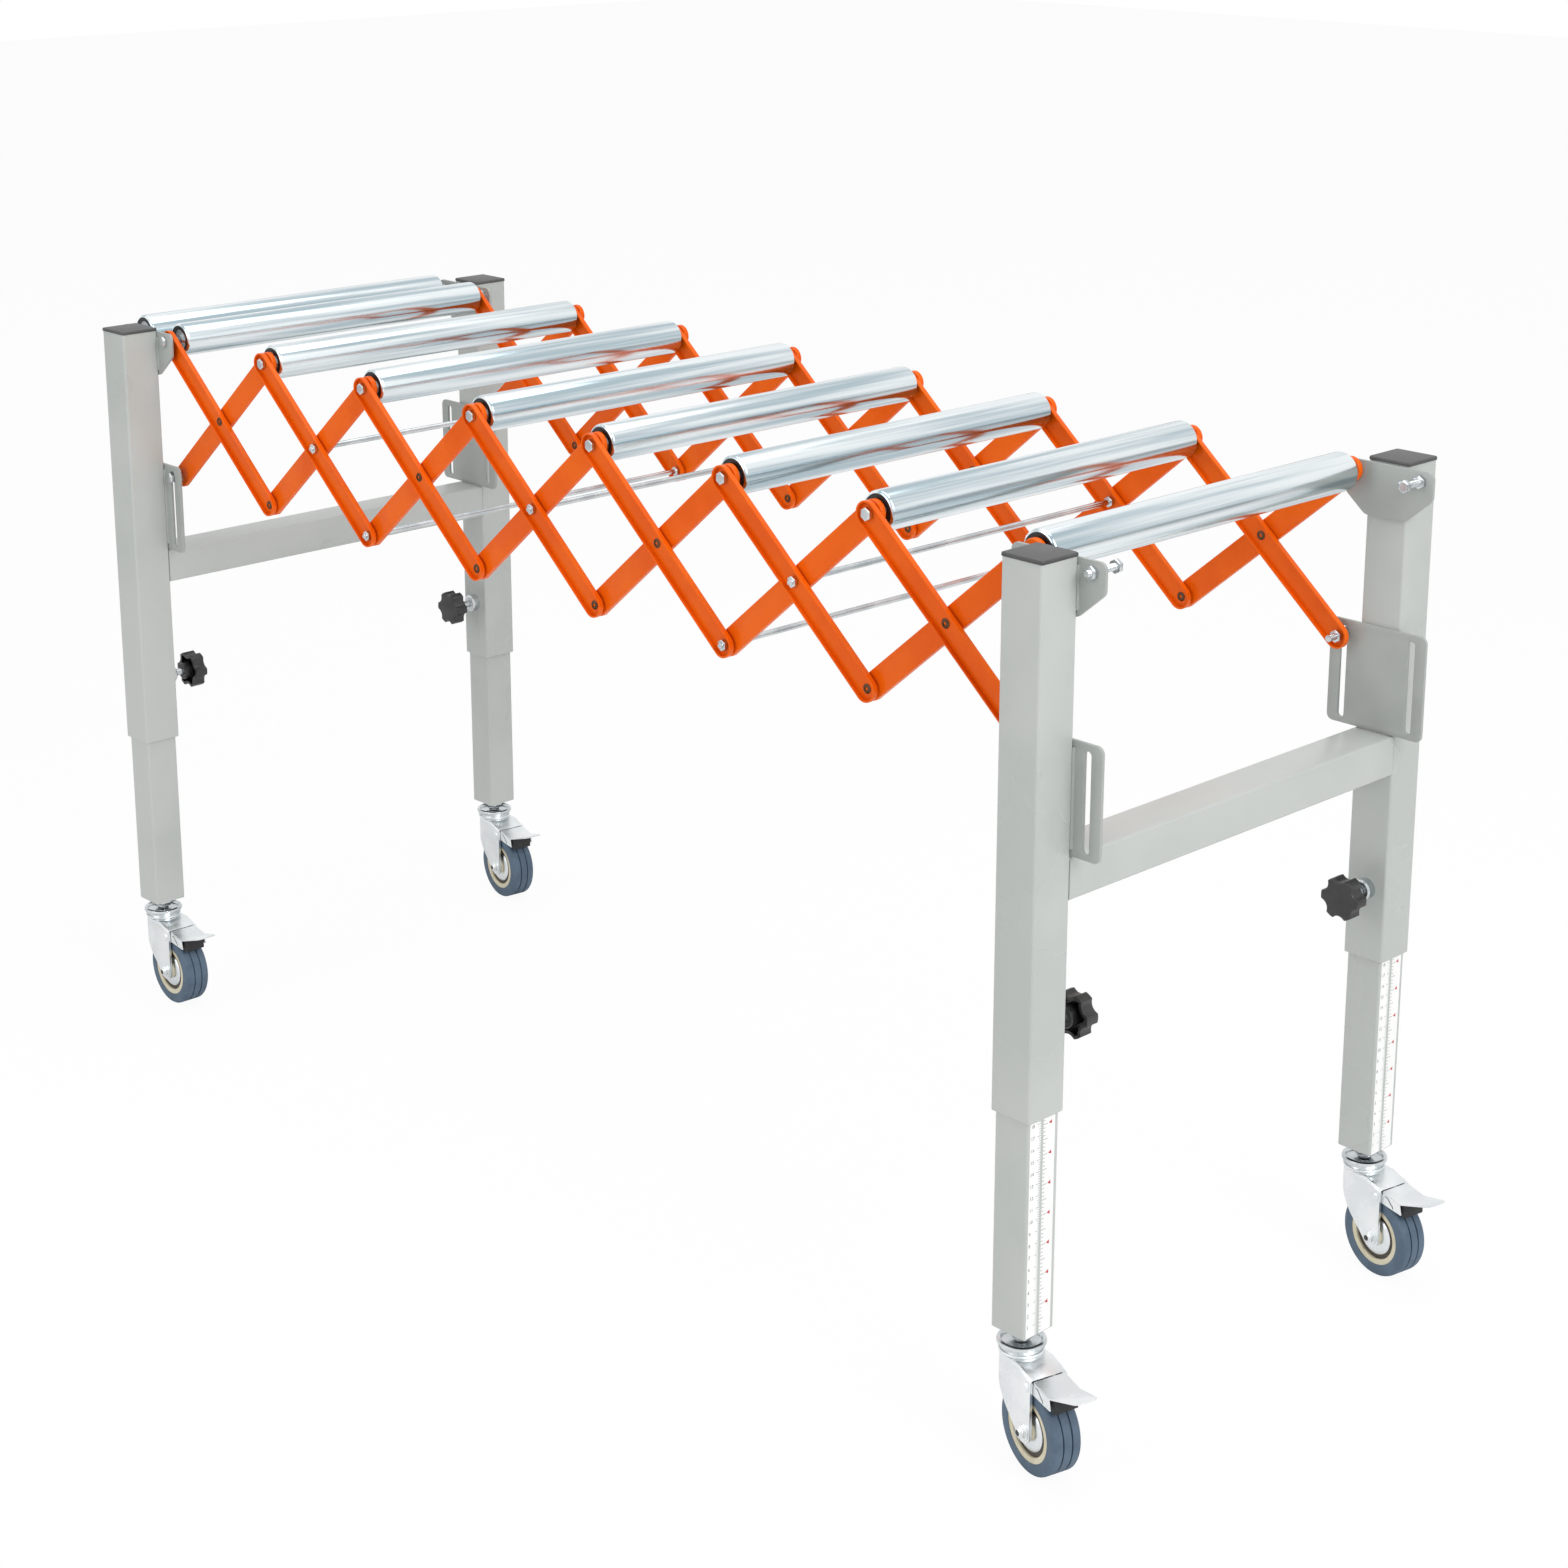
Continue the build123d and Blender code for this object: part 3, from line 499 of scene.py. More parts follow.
for cell in range(cell_count):
    number = cell + 1
    top_x = first_pivot + cell * pitch
    falling = bmesh.new()
    for web in (-outer_web, inner_web):
        put(falling, channel, at(top_x, web, top_level) @ Matrix.Rotation(slope, 4, "Y"))
    put_pivot(falling, top_x + pitch / 2, top_level - drop / 2, cell % 2 == 1)
    if number < cell_count:
        put_pivot(falling, top_x + pitch, foot_level, cell in foot_rod_cells)
    else:
        put_slot_bolts(falling, top_x + pitch, inner_web, outer_web + arm_sheet)
    fit(f"falling_channels_{number}", falling, [orange_enamel, bright_zinc_plate, browned_steel],
        f"falling_pair_{number}", "orange_enamel", f"falling_arms_{number}")

    rising = bmesh.new()
    for web in (-inner_web, outer_web):
        foot = at(top_x, web, foot_level) @ Matrix.Rotation(-slope, 4, "Y")
        put(rising, channel, foot @ Matrix.Rotation(math.pi, 4, "X"))
    if cell == 0:
        put_slot_bolts(rising, top_x, outer_web + arm_sheet, inner_web)
    fit(f"rising_channels_{number}", rising, [orange_enamel, bright_zinc_plate],
        f"rising_pair_{number}", "orange_enamel", f"rising_arms_{number}")

# ------------------------------
# Rollers: 34 mm welded steel tube, hot galvanised and wiped, with the ends rolled in over a
# black moulded seat that carries a pressed steel bearing. They turn freely on their axles.

roller_end, roller_radius, tube_wall, rim_round = 190, 17, 1.5, 2.6
lip_radius, seat_depth, seat_recess = 14.6, 10, 0.6
bearing_radius, bearing_depth, shield_radius, shield_depth, cone_radius = 10.4, 8, 9.3, 1, 6.4
axle_radius, axle_bore, axle_play = 5, 3.06, 0.06

# Galvanised tube: long thin clouds along the tube, partly the zinc skin drawn by the wipe and
# partly painted reflection: dark and bright bands that stand in for the studio's reflections.
galvanised_wipe_and_painted_reflection = new_finish(
    "wiped_zinc_streaks_and_painted_reflection", ("#AEBFC7", "#EBF1F3"), patch=8, gloss=(0.12, 0.24), grain=3,
    depth=0.015, stretch=(1, 0.02, 1), Metallic=1.0)
# Moulded nylon: near black, slightly glossy from the mould.
black_nylon = new_finish(
    "black_moulded_nylon", ("#111214", "#1C1E20"), patch=12, gloss=(0.35, 0.5), grain=1.5,
    depth=0.02, IOR=1.53)


def rim_arc(radius, rounding, steps, first=0):
    """A rounded rim as (radius, distance outwards) points, from its side face to its top."""
    for step in range(first, steps + 1):
        angle = math.pi / 2 * step / steps
        yield radius - rounding + rounding * math.sin(angle), rounding * math.cos(angle) - rounding


wall_inside = roller_radius - tube_wall
shell_half = [(wall_inside, -tube_wall), (lip_radius, -tube_wall), (lip_radius, 0)]
shell_half += rim_arc(roller_radius, rim_round, 5, 1)
roller_shell = kept(turned(both_ends(shell_half, -roller_end, roller_end), 72))

lip_inside, seat_face = roller_end - tube_wall, roller_end - seat_recess
seat_outside, seat_top = wall_inside - fit_gap, lip_radius - fit_gap
seat_profile = [
    (bearing_radius, lip_inside - seat_depth), (seat_outside, lip_inside - seat_depth),
    (seat_outside, lip_inside - fit_gap), (seat_top, lip_inside - fit_gap), (seat_top, seat_face),
    (bearing_radius, seat_face)]
bearing_face, bearing_bore = seat_face - seat_recess, axle_radius + axle_play
bearing_back, shield_face = bearing_face - bearing_depth, bearing_face - shield_depth
bearing_profile = [
    (bearing_bore, bearing_back), (bearing_radius, bearing_back), (bearing_radius, bearing_face),
    (shield_radius, bearing_face), (shield_radius, shield_face), (cone_radius, shield_face),
    (cone_radius, bearing_face), (bearing_bore, bearing_face)]
roller_seat = assembled((turned(seat_profile, 48), 1), (turned(bearing_profile, 48), 2))
for number in range(1, cell_count + 3):
    low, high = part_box(f"roller_{number}")
    x = (low.x + high.x) / 2 * 1000 - left_posts.x * 1000
    roller = bmesh.new()
    put(roller, roller_shell, at(x, 0, top_level))
    for side in (-1, 1):
        put(roller, roller_seat, at(x, 0, top_level, side))
    fit(f"roller_tube_{number}", roller, [galvanised_wipe_and_painted_reflection, black_nylon, bright_zinc_plate],
        f"roller_{number}", "galvanised_roller", f"roller_{number}")

# ------------------------------
# Roller axles: 10 mm bright steel bar, drilled and tapped at both ends for the M6 bolts that
# hold it between the arms or the brackets. Two long coupling bolts stand inboard of the
# right brackets, to hook on the next conveyor.

axle_hole_depth, axle_edge, shank_edge = 1.5, 0.5, 0.2
axle_end = [(0, -axle_hole_depth), (axle_bore, -axle_hole_depth), (axle_bore, 0),
            (axle_radius - axle_edge, 0), (axle_radius, -axle_edge)]

# How an axle's end is held: its end face, the seat of its bolt head and its spacer's faces.
between_arms = (nut_inner, nut_outer, gap_between_arms)
between_brackets = (plate_inside, plate_outside, None)
inside_arm = (nut_inner, plate_outside, (inner_web + fit_gap, plate_inside))
outside_arm = (outer_web - fit_gap, plate_outside, (nut_outer, plate_inside))


def axle_set(x, near, far):
    """An axle with its two end bolts and any spacers beside the arms."""
    whole = bmesh.new()
    put(whole, kept(turned(both_ends(axle_end, -near[0], far[0]), 28)))
    for side, (face, seat, spacer) in ((-1, near), (1, far)):
        shank = bar(bolt_radius, face - 1, seat + 1, shank_edge)
        parts = bolt_head(seat, 0) + [(turned(shank, 20), 0)]
        if spacer:
            parts.append((washer(*spacer), 0))
        put(whole, assembled(*parts), at(side=side))
    bmesh.ops.translate(whole, vec=(x, 0, top_level), verts=whole.verts)
    return whole


for cell in range(1, cell_count):
    axle = axle_set(first_pivot + cell * pitch, between_arms, between_arms)
    fit(f"axle_bar_{cell + 2}", axle, [bright_zinc_plate], f"falling_pair_{cell + 1}",
        "bright_fasteners", f"roller_axle_{cell + 2}")

left_axles = axle_set(-first_pivot, between_brackets, between_brackets)
put(left_axles, kept(axle_set(first_pivot, outside_arm, inside_arm)))
fit("left_axle_bars", left_axles, [bright_zinc_plate], "left_frame", "bright_fasteners",
    "left_roller_axles")
right_axle = axle_set(first_pivot + cell_count * pitch, inside_arm, outside_arm)
fit("right_axle_bar", right_axle, [bright_zinc_plate], "right_frame", "bright_fasteners",
    "right_roller_axle")

coupling_head, coupling_tip = 179.5, 215.5
coupling_face = bar(bolt_face_radius, coupling_head - bolt_face_proud,
                    coupling_head + bolt_face_sunk, bolt_face_proud)
coupling_shank = ribbed(bolt_radius, bolt_root, coupling_head + 2, coupling_tip, bolt_step)
hook_bolt = assembled(
    (hexagon(coupling_head, coupling_head + hexagon_height), 0),
    (turned(coupling_face, 24), 0), (turned(coupling_shank, 20), 0),
    (hexagon(plate_inside - hexagon_height, plate_inside), 0),
    (hexagon(plate_outside, plate_outside + hexagon_height), 0))
couplings = bmesh.new()
for side in (-1, 1):
    put(couplings, hook_bolt, at(frame_places["right"] + first_pivot, 0, top_level, side))
fit("right_hook_bolts", couplings, [bright_zinc_plate], "right_frame", "bright_fasteners",
    "right_coupling_bolts")

# ------------------------------
# Clamp knobs: a six-lobed phenolic knob, hollow at the back, moulded on a zinc-plated M8 stud
# that runs through a boss welded to the post and presses on the inner leg.

sides = {"near": -1, "far": 1}
knob_level, boss_radius, boss_length, boss_chamfer = 358, 9.5, 9, 1.5
collar_face, knob_face, knob_front = 187.5, 181.5, 167.5
knob_radius, knob_lobes, scoop_radius, knob_edge, knob_wall, knob_hollow = 19, 6, 7.5, 1.8, 2.6, 8
collar_radius, stud_radius, stud_root, stud_step, stud_tip = 9, 4, 3.65, 1.25, 209.7

# Moulded phenolic: near black with a low sheen, worn a little paler in patches.
black_phenolic = new_finish(
    "black_phenolic", ("#141414", "#202020"), patch=14, gloss=(0.3, 0.42), grain=2, depth=0.02,
    IOR=1.6)

boss_low = post_inside - boss_length
boss = kept(turned([(stud_radius, boss_low), (boss_radius - boss_chamfer, boss_low),
                    (boss_radius, boss_low + boss_chamfer), (boss_radius, post_inside),
                    (stud_radius, post_inside)]))

head = bmesh.new()
bmesh.ops.create_circle(head, cap_ends=True, segments=96, radius=knob_radius, matrix=y_to_up)
lobe, scoop_reach = 2 * math.pi / knob_lobes, knob_radius + scoop_radius / 2
for point in head.verts:
    angle = math.atan2(point.co.z, point.co.x)
    from_scoop = angle - (math.floor(angle / lobe) + 0.5) * lobe
    across = scoop_reach * math.sin(from_scoop)
    if abs(across) < scoop_radius:
        edge = scoop_reach * math.cos(from_scoop) - math.sqrt(scoop_radius ** 2 - across ** 2)
        point.co *= min(1, edge / knob_radius)
back = raised(head, head.faces[:], (0, knob_face - knob_front, 0))
bmesh.ops.inset_region(head, faces=back, thickness=knob_wall, use_even_offset=True)
raised(head, back, (0, -knob_hollow, 0))
bmesh.ops.translate(head, vec=(0, knob_front, 0), verts=head.verts)
bmesh.ops.recalc_face_normals(head, faces=head.faces)
round_where(head, lambda place: place.y < knob_front + 0.01, knob_edge, 4)
collar = bar(collar_radius, knob_face - knob_hollow - 0.5, collar_face, 1)
stud = ribbed(stud_radius, stud_root, collar_face - 1, stud_tip, stud_step)
knob = assembled((head, 0), (turned(collar), 0), (turned(stud, 24), 1))
for end, x in frame_places.items():
    bosses = bmesh.new()
    for side_name, side in sides.items():
        corner = f"{side_name}_{end}"
        put(bosses, boss, at(x, 0, knob_level, side))
        star = bmesh.new()
        put(star, knob, at(x, 0, knob_level, side))
        fit("star_knob_" + corner, star, [black_phenolic, bright_zinc_plate], "knob_" + corner,
            "knob_plastic", "clamp_knob_" + corner)
    fit(end + "_threaded_bosses", bosses, [bright_zinc_plate], end + "_frame",
        "bright_fasteners", end + "_knob_bosses")

# ------------------------------
# Legs: 35 mm square tube, 1.5 mm wall, powder coated like the posts that it slides in. A
# moulded plug in its foot takes the caster's stem, which a lock nut holds.

leg_width, leg_wall, leg_low, leg_length = 35, 1.5, 110, 420
plug_length, plug_gap, plug_corner, plug_wall = 28, 0.3, 1, 9
stem_radius, stem_root, stem_step = 6, 5.5, 1.75
lock_nut_flats, lock_nut_height, lock_nut_round = 17, 8.6, 0.9
race_low, race_middle, race_high, race_radius, race_waist = 94.2, 97.2, 100.5, 20, 18.8
race_round, dish_radius, dish_floor = 1.8, 16.5, 98
kingpin_radius, kingpin_low, kingpin_head, kingpin_head_height, kingpin_edge = 5, 87.3, 8.5, 2, 0.6

leg_tube = kept(square_tube(leg_width, leg_width, post_corner, leg_wall, leg_length))
plug_width = leg_width - 2 * leg_wall - plug_gap
plug = kept(square_tube(plug_width, plug_width, plug_corner, plug_wall, plug_length), 1)
race = turned([
    (0, race_low), (race_waist - 1.6, race_low), (race_waist - 0.4, race_low + 0.4),
    (race_waist, race_low + 1), (race_waist, race_middle - 0.8),
    (race_waist + 0.3, race_middle - 0.3), (race_radius, race_middle + 0.3),
    (race_radius, race_high - race_round), (race_radius - 0.5, race_high - 0.5),
    (race_radius - race_round, race_high), (dish_radius + 0.5, race_high),
    (dish_radius, race_high - 0.5), (dish_radius - 1, dish_floor), (0, dish_floor)], 48)
kingpin_end = kingpin_low - kingpin_head_height
kingpin = turned([
    (0, kingpin_end), (kingpin_head - kingpin_edge, kingpin_end),
    (kingpin_head, kingpin_end + kingpin_edge), (kingpin_head, kingpin_low),
    (kingpin_radius, kingpin_low), (kingpin_radius, race_low + 1), (0, race_low + 1)])
lock_nut = hexagon(leg_low - lock_nut_height, leg_low, lock_nut_flats, lock_nut_round)
stem = ribbed(stem_radius, stem_root, dish_floor, leg_low + plug_length + 2, stem_step)
swivel_mount = assembled((race, 2), (kingpin, 2), (lock_nut, 2), (turned(stem, 28), 2))

# Where each leg stands, and how far its caster is turned there, in degrees.
stands, swivels = {}, {}
for corner, turn in {"near_left": -1, "far_left": -7, "near_right": -14, "far_right": -10}.items():
    side_name, end = corner.split("_")
    stands[corner] = at(frame_places[end], sides[side_name] * post_line)
    swivels[corner] = stands[corner] @ Matrix.Rotation(math.radians(turn), 4, "Z")


def fit_corners(name, parts, places, finishes, body, slot, *nodes):
    """Fits a piece at all four corners from kept parts, each with its place in the piece."""
    for corner, place in places.items():
        piece = bmesh.new()
        for mesh, offset in parts:
            put(piece, mesh, place @ offset)
        fit(name + corner, piece, finishes, body + corner, slot,
            *(node + corner for node in nodes))


fit_corners(
    "leg_tube_", [(leg_tube, at(z=leg_low)), (plug, at(z=leg_low)), (swivel_mount, y_to_up)],
    stands, [grey_powder_coat, black_nylon, bright_zinc_plate], "leg_", "powder_coated_tube",
    "leg_")

# ------------------------------
# Height rules: two strips of white printed film stuck along the outer face of each leg, one
# numbered in centimetres with black ticks, one in inches with a red mark at each inch.

film_thickness, ink_thickness, sunk = 0.15, 0.05, 0.05
centimetre_strip, inch_strip = (-15.6, -3.4), (-0.5, 12.8)
rule_low, rule_high = 111, 529
tick_height, number_height, number_margin, font_share = 0.35, 3.0, 0.9, 1.4
inch, inch_mark = 25.4, ((5.4, 0), (9.0, 1.7), (9.0, -1.7))
last_number, last_inch = 41, 16
# Ticks: their pitch, how many to a long one, both lengths, and the edge they start from.
rule_ticks = ((2, 5, -4, -2, centimetre_strip[1]), (inch / 8, 4, 5, 2.5, inch_strip[0]))

# Vinyl film: white, slightly glossy, flat inks printed on it.
white_vinyl_film = new_finish(
    "white_vinyl_film", ("#F0F1F0", "#F6F6F5"), patch=40, gloss=(0.3, 0.38), grain=6, depth=0.01,
    IOR=1.52)
black_ink = new_finish(
    "black_printed_ink", ("#55585C", "#63666A"), patch=30, gloss=(0.4, 0.5), grain=2, depth=0.004)
red_ink = new_finish(
    "red_printed_ink", ("#B8202A", "#C62A33"), patch=30, gloss=(0.4, 0.5), grain=2, depth=0.004)


def slab(piece, low, high, finish):
    """A thin flat block from its lowest to its highest corner."""
    part = bmesh.new()
    size = Vector(high) - Vector(low)
    middle = Matrix.Translation((Vector(low) + Vector(high)) / 2)
    bmesh.ops.create_cube(part, size=1, matrix=middle @ Matrix.Diagonal((*size, 1)))
    put(piece, kept(part, finish))


def number_mesh(number):
    """A printed number standing in Y and Z, read from outside, its lower corner at the origin."""
    curve = bpy.data.curves.new("number", "FONT")
    curve.body = str(number)
    curve.size = number_height * font_share
    curve.extrude = ink_thickness / 2
    curve.resolution_u = 2
    text = bpy.data.objects.new("number", curve)
    mesh = bpy.data.meshes.new_from_object(text)
    bpy.data.objects.remove(text)
    part = bmesh.new()
    part.from_mesh(mesh)
    bmesh.ops.remove_doubles(part, verts=part.verts, dist=0.001)
    outward = Matrix(((0, 0, 1, 0), (1, 0, 0, 0), (0, 1, 0, 0), (0, 0, 0, 1)))
    bmesh.ops.transform(part, matrix=outward, verts=part.verts)
    return kept(part, 1)


rule = bmesh.new()
face = leg_width / 2
film = face + film_thickness
for low, high in (centimetre_strip, inch_strip):
    slab(rule, (face - sunk, low, rule_low), (film, high, rule_high), 0)
for tick_pitch, group, long_tick, short_tick, edge in rule_ticks:
    for step in range(1, int((rule_high - rule_low) / tick_pitch)):
        across = sorted((edge, edge + (short_tick if step % group else long_tick)))
        level = leg_low + step * tick_pitch
        slab(rule, (film - sunk, across[0], level - tick_height / 2),
             (film + ink_thickness, across[1], level + tick_height / 2), 1)
for number in range(1, last_number + 1):
    put(rule, number_mesh(number), at(film + ink_thickness / 2 - 0.01,
                                      centimetre_strip[0] + number_margin,
                                      leg_low + number * 10 - number_height / 2))
for count in range(1, last_inch + 1):
    mark = flat([(film - sunk, y, leg_low + count * inch + z) for y, z in inch_mark])
    raised(mark, mark.faces[:], (ink_thickness + sunk, 0, 0))
    put(rule, kept(mark, 2))
rule = as_mesh(rule)
outward = {corner: stand @ at(side=-1 if corner.endswith("left") else 1)
           for corner, stand in stands.items()}
fit_corners("height_rule_", [(rule, at())], outward, [white_vinyl_film, black_ink, red_ink],
            "leg_", "powder_coated_tube")

# ------------------------------
# Caster forks: 2.4 mm steel pressed to a round-fronted fork with two cheeks, on a ball race
# under the swivel, bright zinc plated. A bolt and a lock nut hold the wheel, and a riveted
# pin carries the brake pedal.

fork_sheet, fork_half, fork_rear, fork_top, fork_depth = 2.4, 17.4, 38, 90.1, 70
fork_slope_start, fork_slope_drop, fork_round = 20, 5, 2.8
front_cut_low, front_cut_high = (1, 53), (-17.4, 78)
trail, wheel_radius, fork_boss, boss_cut_angles = 29, 37.5, 9.5, range(-135, 1, 15)
cup_radius, cup_low, cup_high = 18.5, 90.1, 92.6
ball_track_radius, ball_track_high = 16, 94.1
axle_bolt_radius, axle_bolt_end, axle_thread_end, axle_washer_radius = 4, 3.5, 1.5, 7.6
socket_flats, socket_round = 5, 0.02
pivot, pivot_level, pin_radius, pin_head, pin_proud = 32, 77.5, 2.5, 4.2, 1.2

# Pressed steel, zinc plated bright: bluish white metal, glossier than the small fasteners.
bright_zinc_pressing = new_finish(
    "bright_zinc_pressing", ("#DEE2E4", "#ECEFF0"), patch=40, gloss=(0.24, 0.34), grain=6,
    depth=0.006, Metallic=1.0)
# The socket in the axle bolt is not cut: a dark hexagon just proud of the bolt end is painted
# shade for its depth.
socket_painted_shade = new_finish(
    "socket_painted_shade_hexagon", ("#262A29", "#343836"), patch=4, gloss=(0.4, 0.55), grain=1,
    depth=0.005)


def cut(part, point, away, clear=True):
    """Cuts a part along a plane, and takes off what lies beyond it unless told to keep it."""
    bmesh.ops.bisect_plane(part, geom=part.verts[:] + part.edges[:] + part.faces[:],
                           plane_co=point, plane_no=away, clear_outer=clear)


# Drawn from above as a half circle between straight cheeks, then raised, cut to its side
# outline and given its sheet thickness.
fork_plan = [(fork_rear, fork_half)] + [
    (fork_half * math.cos(math.radians(angle)), fork_half * math.sin(math.radians(angle)))
    for angle in range(90, 271, 9)] + [(fork_rear, -fork_half)]
fork = flat([(x, y, fork_top - fork_depth) for x, y in fork_plan])
raised(fork, fork.faces[:], (0, 0, fork_depth))
cut(fork, (fork_slope_start, 0, 0), (1, 0, 0), clear=False)
for point in fork.verts:
    if point.co.z > fork_top - 1 and point.co.x > fork_slope_start + 1:
        point.co.z -= fork_slope_drop
bmesh.ops.recalc_face_normals(fork, faces=fork.faces)
open_sides = [face for face in fork.faces if face.normal.z < -0.5 or face.normal.x > 0.9]
bmesh.ops.delete(fork, geom=open_sides, context="FACES")
rounded(fork, [edge for edge in fork.edges if len(edge.link_faces) == 2
               and abs(edge.link_faces[0].normal.z - edge.link_faces[1].normal.z) > 0.5],
        fork_round, 4)
cut(fork, (front_cut_low[0], 0, front_cut_low[1]),
    (front_cut_low[1] - front_cut_high[1], 0, front_cut_high[0] - front_cut_low[0]))
for angle in boss_cut_angles:
    way = (math.cos(math.radians(angle)), 0, math.sin(math.radians(angle)))
    cut(fork, (trail + fork_boss * way[0], 0, wheel_radius + fork_boss * way[2]), way)
bmesh.ops.solidify(fork, geom=fork.faces[:], thickness=fork_sheet)
fork = kept(fork)

lower_race = kept(turned([
    (0, cup_low), (cup_radius - 1, cup_low),
    (cup_radius, cup_low + 1), (cup_radius, cup_high - 0.6),
    (cup_radius - 0.6, cup_high), (ball_track_radius, cup_high),
    (ball_track_radius, ball_track_high), (0, ball_track_high)], 48))
cheek = fork_half + 0.05
bolt_end = cheek + axle_bolt_end
thread_end = bolt_end + axle_thread_end
axle_bolt = [(turned(bar(axle_bolt_radius, -thread_end, bolt_end, 0.8), 24), 0)]
axle_bolt += [(hexagon(low, high), 0)
              for low, high in ((cheek, bolt_end), (-bolt_end, -cheek))]
axle_bolt += [(turned(bar(axle_washer_radius, low, high, washer_edge, axle_bolt_radius)), 0)
              for low, high in ((cheek - 0.1, cheek + 0.7), (-cheek - 0.7, 0.1 - cheek))]
# The sockets: thin dark hexagons on the bolt's ends, painted shade where each socket would be.
axle_bolt += [(hexagon(low, high, socket_flats, socket_round), 1) for low, high in (
    (bolt_end - 0.2, bolt_end + 0.05), (-bolt_end - 1.55, -bolt_end - 1.3))]
axle_bolt = assembled(*axle_bolt)
pin_half = [(0, pin_proud), (pin_head - 1, pin_proud), (pin_head, 0.5), (pin_head, 0),
            (pin_radius, 0)]
pedal_pin = kept(turned(both_ends(pin_half, -cheek, cheek), 24))

fit_corners(
    "pressed_fork_", [(fork, at()), (lower_race, y_to_up), (axle_bolt, at(trail, 0, wheel_radius)),
                      (pedal_pin, at(pivot, 0, pivot_level))], swivels,
    [bright_zinc_pressing, socket_painted_shade], "caster_", "caster_steel", "caster_fork_")

# ------------------------------
# Caster wheels: a blue-grey rubber tyre with two grooves, moulded onto a cream nylon core. A
# recess with painted shade and a dished zinc cover close the hub on each side.

tyre_half, tyre_inner, tyre_round, tyre_facets = 13, 26.8, 3, 4
groove_offset, groove_half, groove_depth, groove_edge = 4.2, 0.6, 1.6, 0.3
core_half, core_web, core_edge, core_bore = 12.6, 6, 0.5, 4.06
pocket_radius, pocket_depth, hub_radius, hub_half = 22, 2.2, 9, 14.5
cover_radius, cover_low, cover_high = 18, 10.4, 12.4

# Grey rubber: moulded, matt, with a bloom that pales it in patches.
grey_rubber = new_finish(
    "blue_grey_rubber", ("#4A5D70", "#586B7E"), patch=18, gloss=(0.55, 0.7), grain=1.5,
    depth=0.03, IOR=1.52)
# Moulded nylon core: cream, smooth.
cream_nylon = new_finish(
    "cream_moulded_nylon", ("#D0C8AC", "#DBD3BA"), patch=12, gloss=(0.35, 0.45), grain=1.5,
    depth=0.015, IOR=1.53)
# The recess round the hub: the same nylon, painted dark as shade in the recess.
recess_painted_shade = new_finish(
    "moulded_recess_painted_shade", ("#38322C", "#4A423A"), patch=10, gloss=(0.45, 0.6), grain=1.5,
    depth=0.02, IOR=1.53)

groove_floor, groove_side = wheel_radius - groove_depth, groove_half + groove_edge
groove = both_ends(((wheel_radius, -groove_side), (wheel_radius - groove_edge, -groove_half),
                    (groove_floor, -groove_half)), 0, 0)
tyre_end = [(tyre_inner, 0), *rim_arc(wheel_radius, tyre_round, tyre_facets)]
tyre_end += [(radius, groove_offset + out - tyre_half) for radius, out in groove]
tyre = turned(both_ends(tyre_end, -tyre_half, tyre_half), 96)
web = turned([(core_bore, -core_web), (tyre_inner, -core_web), (tyre_inner, core_web),
              (core_bore, core_web)], 64)
# The rings of each side: the facets and the finish of each, and its profile out from the web.
pocket_floor, pocket_rim = core_half - pocket_depth, pocket_radius + core_edge
side_rings = (
    (64, 1, ((tyre_inner, core_web), (tyre_inner, core_half), (pocket_rim, core_half),
             (pocket_radius, core_half - core_edge), (pocket_radius, core_web))),
    (64, 2, ((hub_radius, core_web), (pocket_radius, core_web), (pocket_radius, pocket_floor),
             (hub_radius, pocket_floor))),
    (32, 1, ((core_bore, core_web), (hub_radius, core_web), (hub_radius, hub_half - core_edge),
             (hub_radius - core_edge, hub_half), (core_bore, hub_half))),
    (48, 3, ((hub_radius, cover_low), (cover_radius, cover_low), (cover_radius, cover_low + 0.6),
             (cover_radius - 1.2, cover_high - 0.5), (cover_radius - 3, cover_high),
             (hub_radius, cover_high))))
wheel = assembled((tyre, 0), (web, 1), *(
    (turned([(radius, side * out) for radius, out in profile], steps), finish)
    for side in (-1, 1) for steps, finish, profile in side_rings))
fit_corners("grooved_wheel_", [(wheel, at(trail, 0, wheel_radius))], swivels,
            [grey_rubber, cream_nylon, recess_painted_shade, bright_zinc_pressing],
            "wheel_", "wheel_rubber", "caster_wheel_")

# ------------------------------
# Brake pedals: 1.3 mm sheet folded to a channel that tips on the riveted pin, plated like the
# fork, with a rubber shoe under it that comes down on the tyre and a spring wire at each side.

pedal_sheet, pedal_half, tip_half, tip_corner, ear_radius, ear_gap = 1.3, 14.7, 10, 4, 4.2, 0.6
tread_start, tread_bend, tread_tip = (39, 84.6), (59, 81.0), (90, 90.5)
tread_edge, flange_edge, shoe_edge = 0.35, 0.3, 0.8
flange_end, shoe_start, shoe_end, shoe_half = (61, 70.5), (46, 76), (62.5, 67), 11.4
wire_line = ((41.0, 80.2), (43.5, 80.6), (46.0, 78.6), (48.5, 75.8), (50.5, 74.4), (51.2, 72.4))
wire_width, wire_proud = 0.65, 0.2

# Moulded rubber: near black and matt, finely pitted.
black_rubber = new_finish(
    "black_rubber", ("#17181A", "#232426"), patch=10, gloss=(0.55, 0.7), grain=1.2, depth=0.03,
    IOR=1.52)


def pedal_under(x):
    """The height of the tread's underside at a distance from the swivel."""
    start, end = (tread_start, tread_bend) if x < tread_bend[0] else (tread_bend, tread_tip)
    return start[1] + (end[1] - start[1]) * (x - start[0]) / (end[0] - start[0]) - pedal_sheet


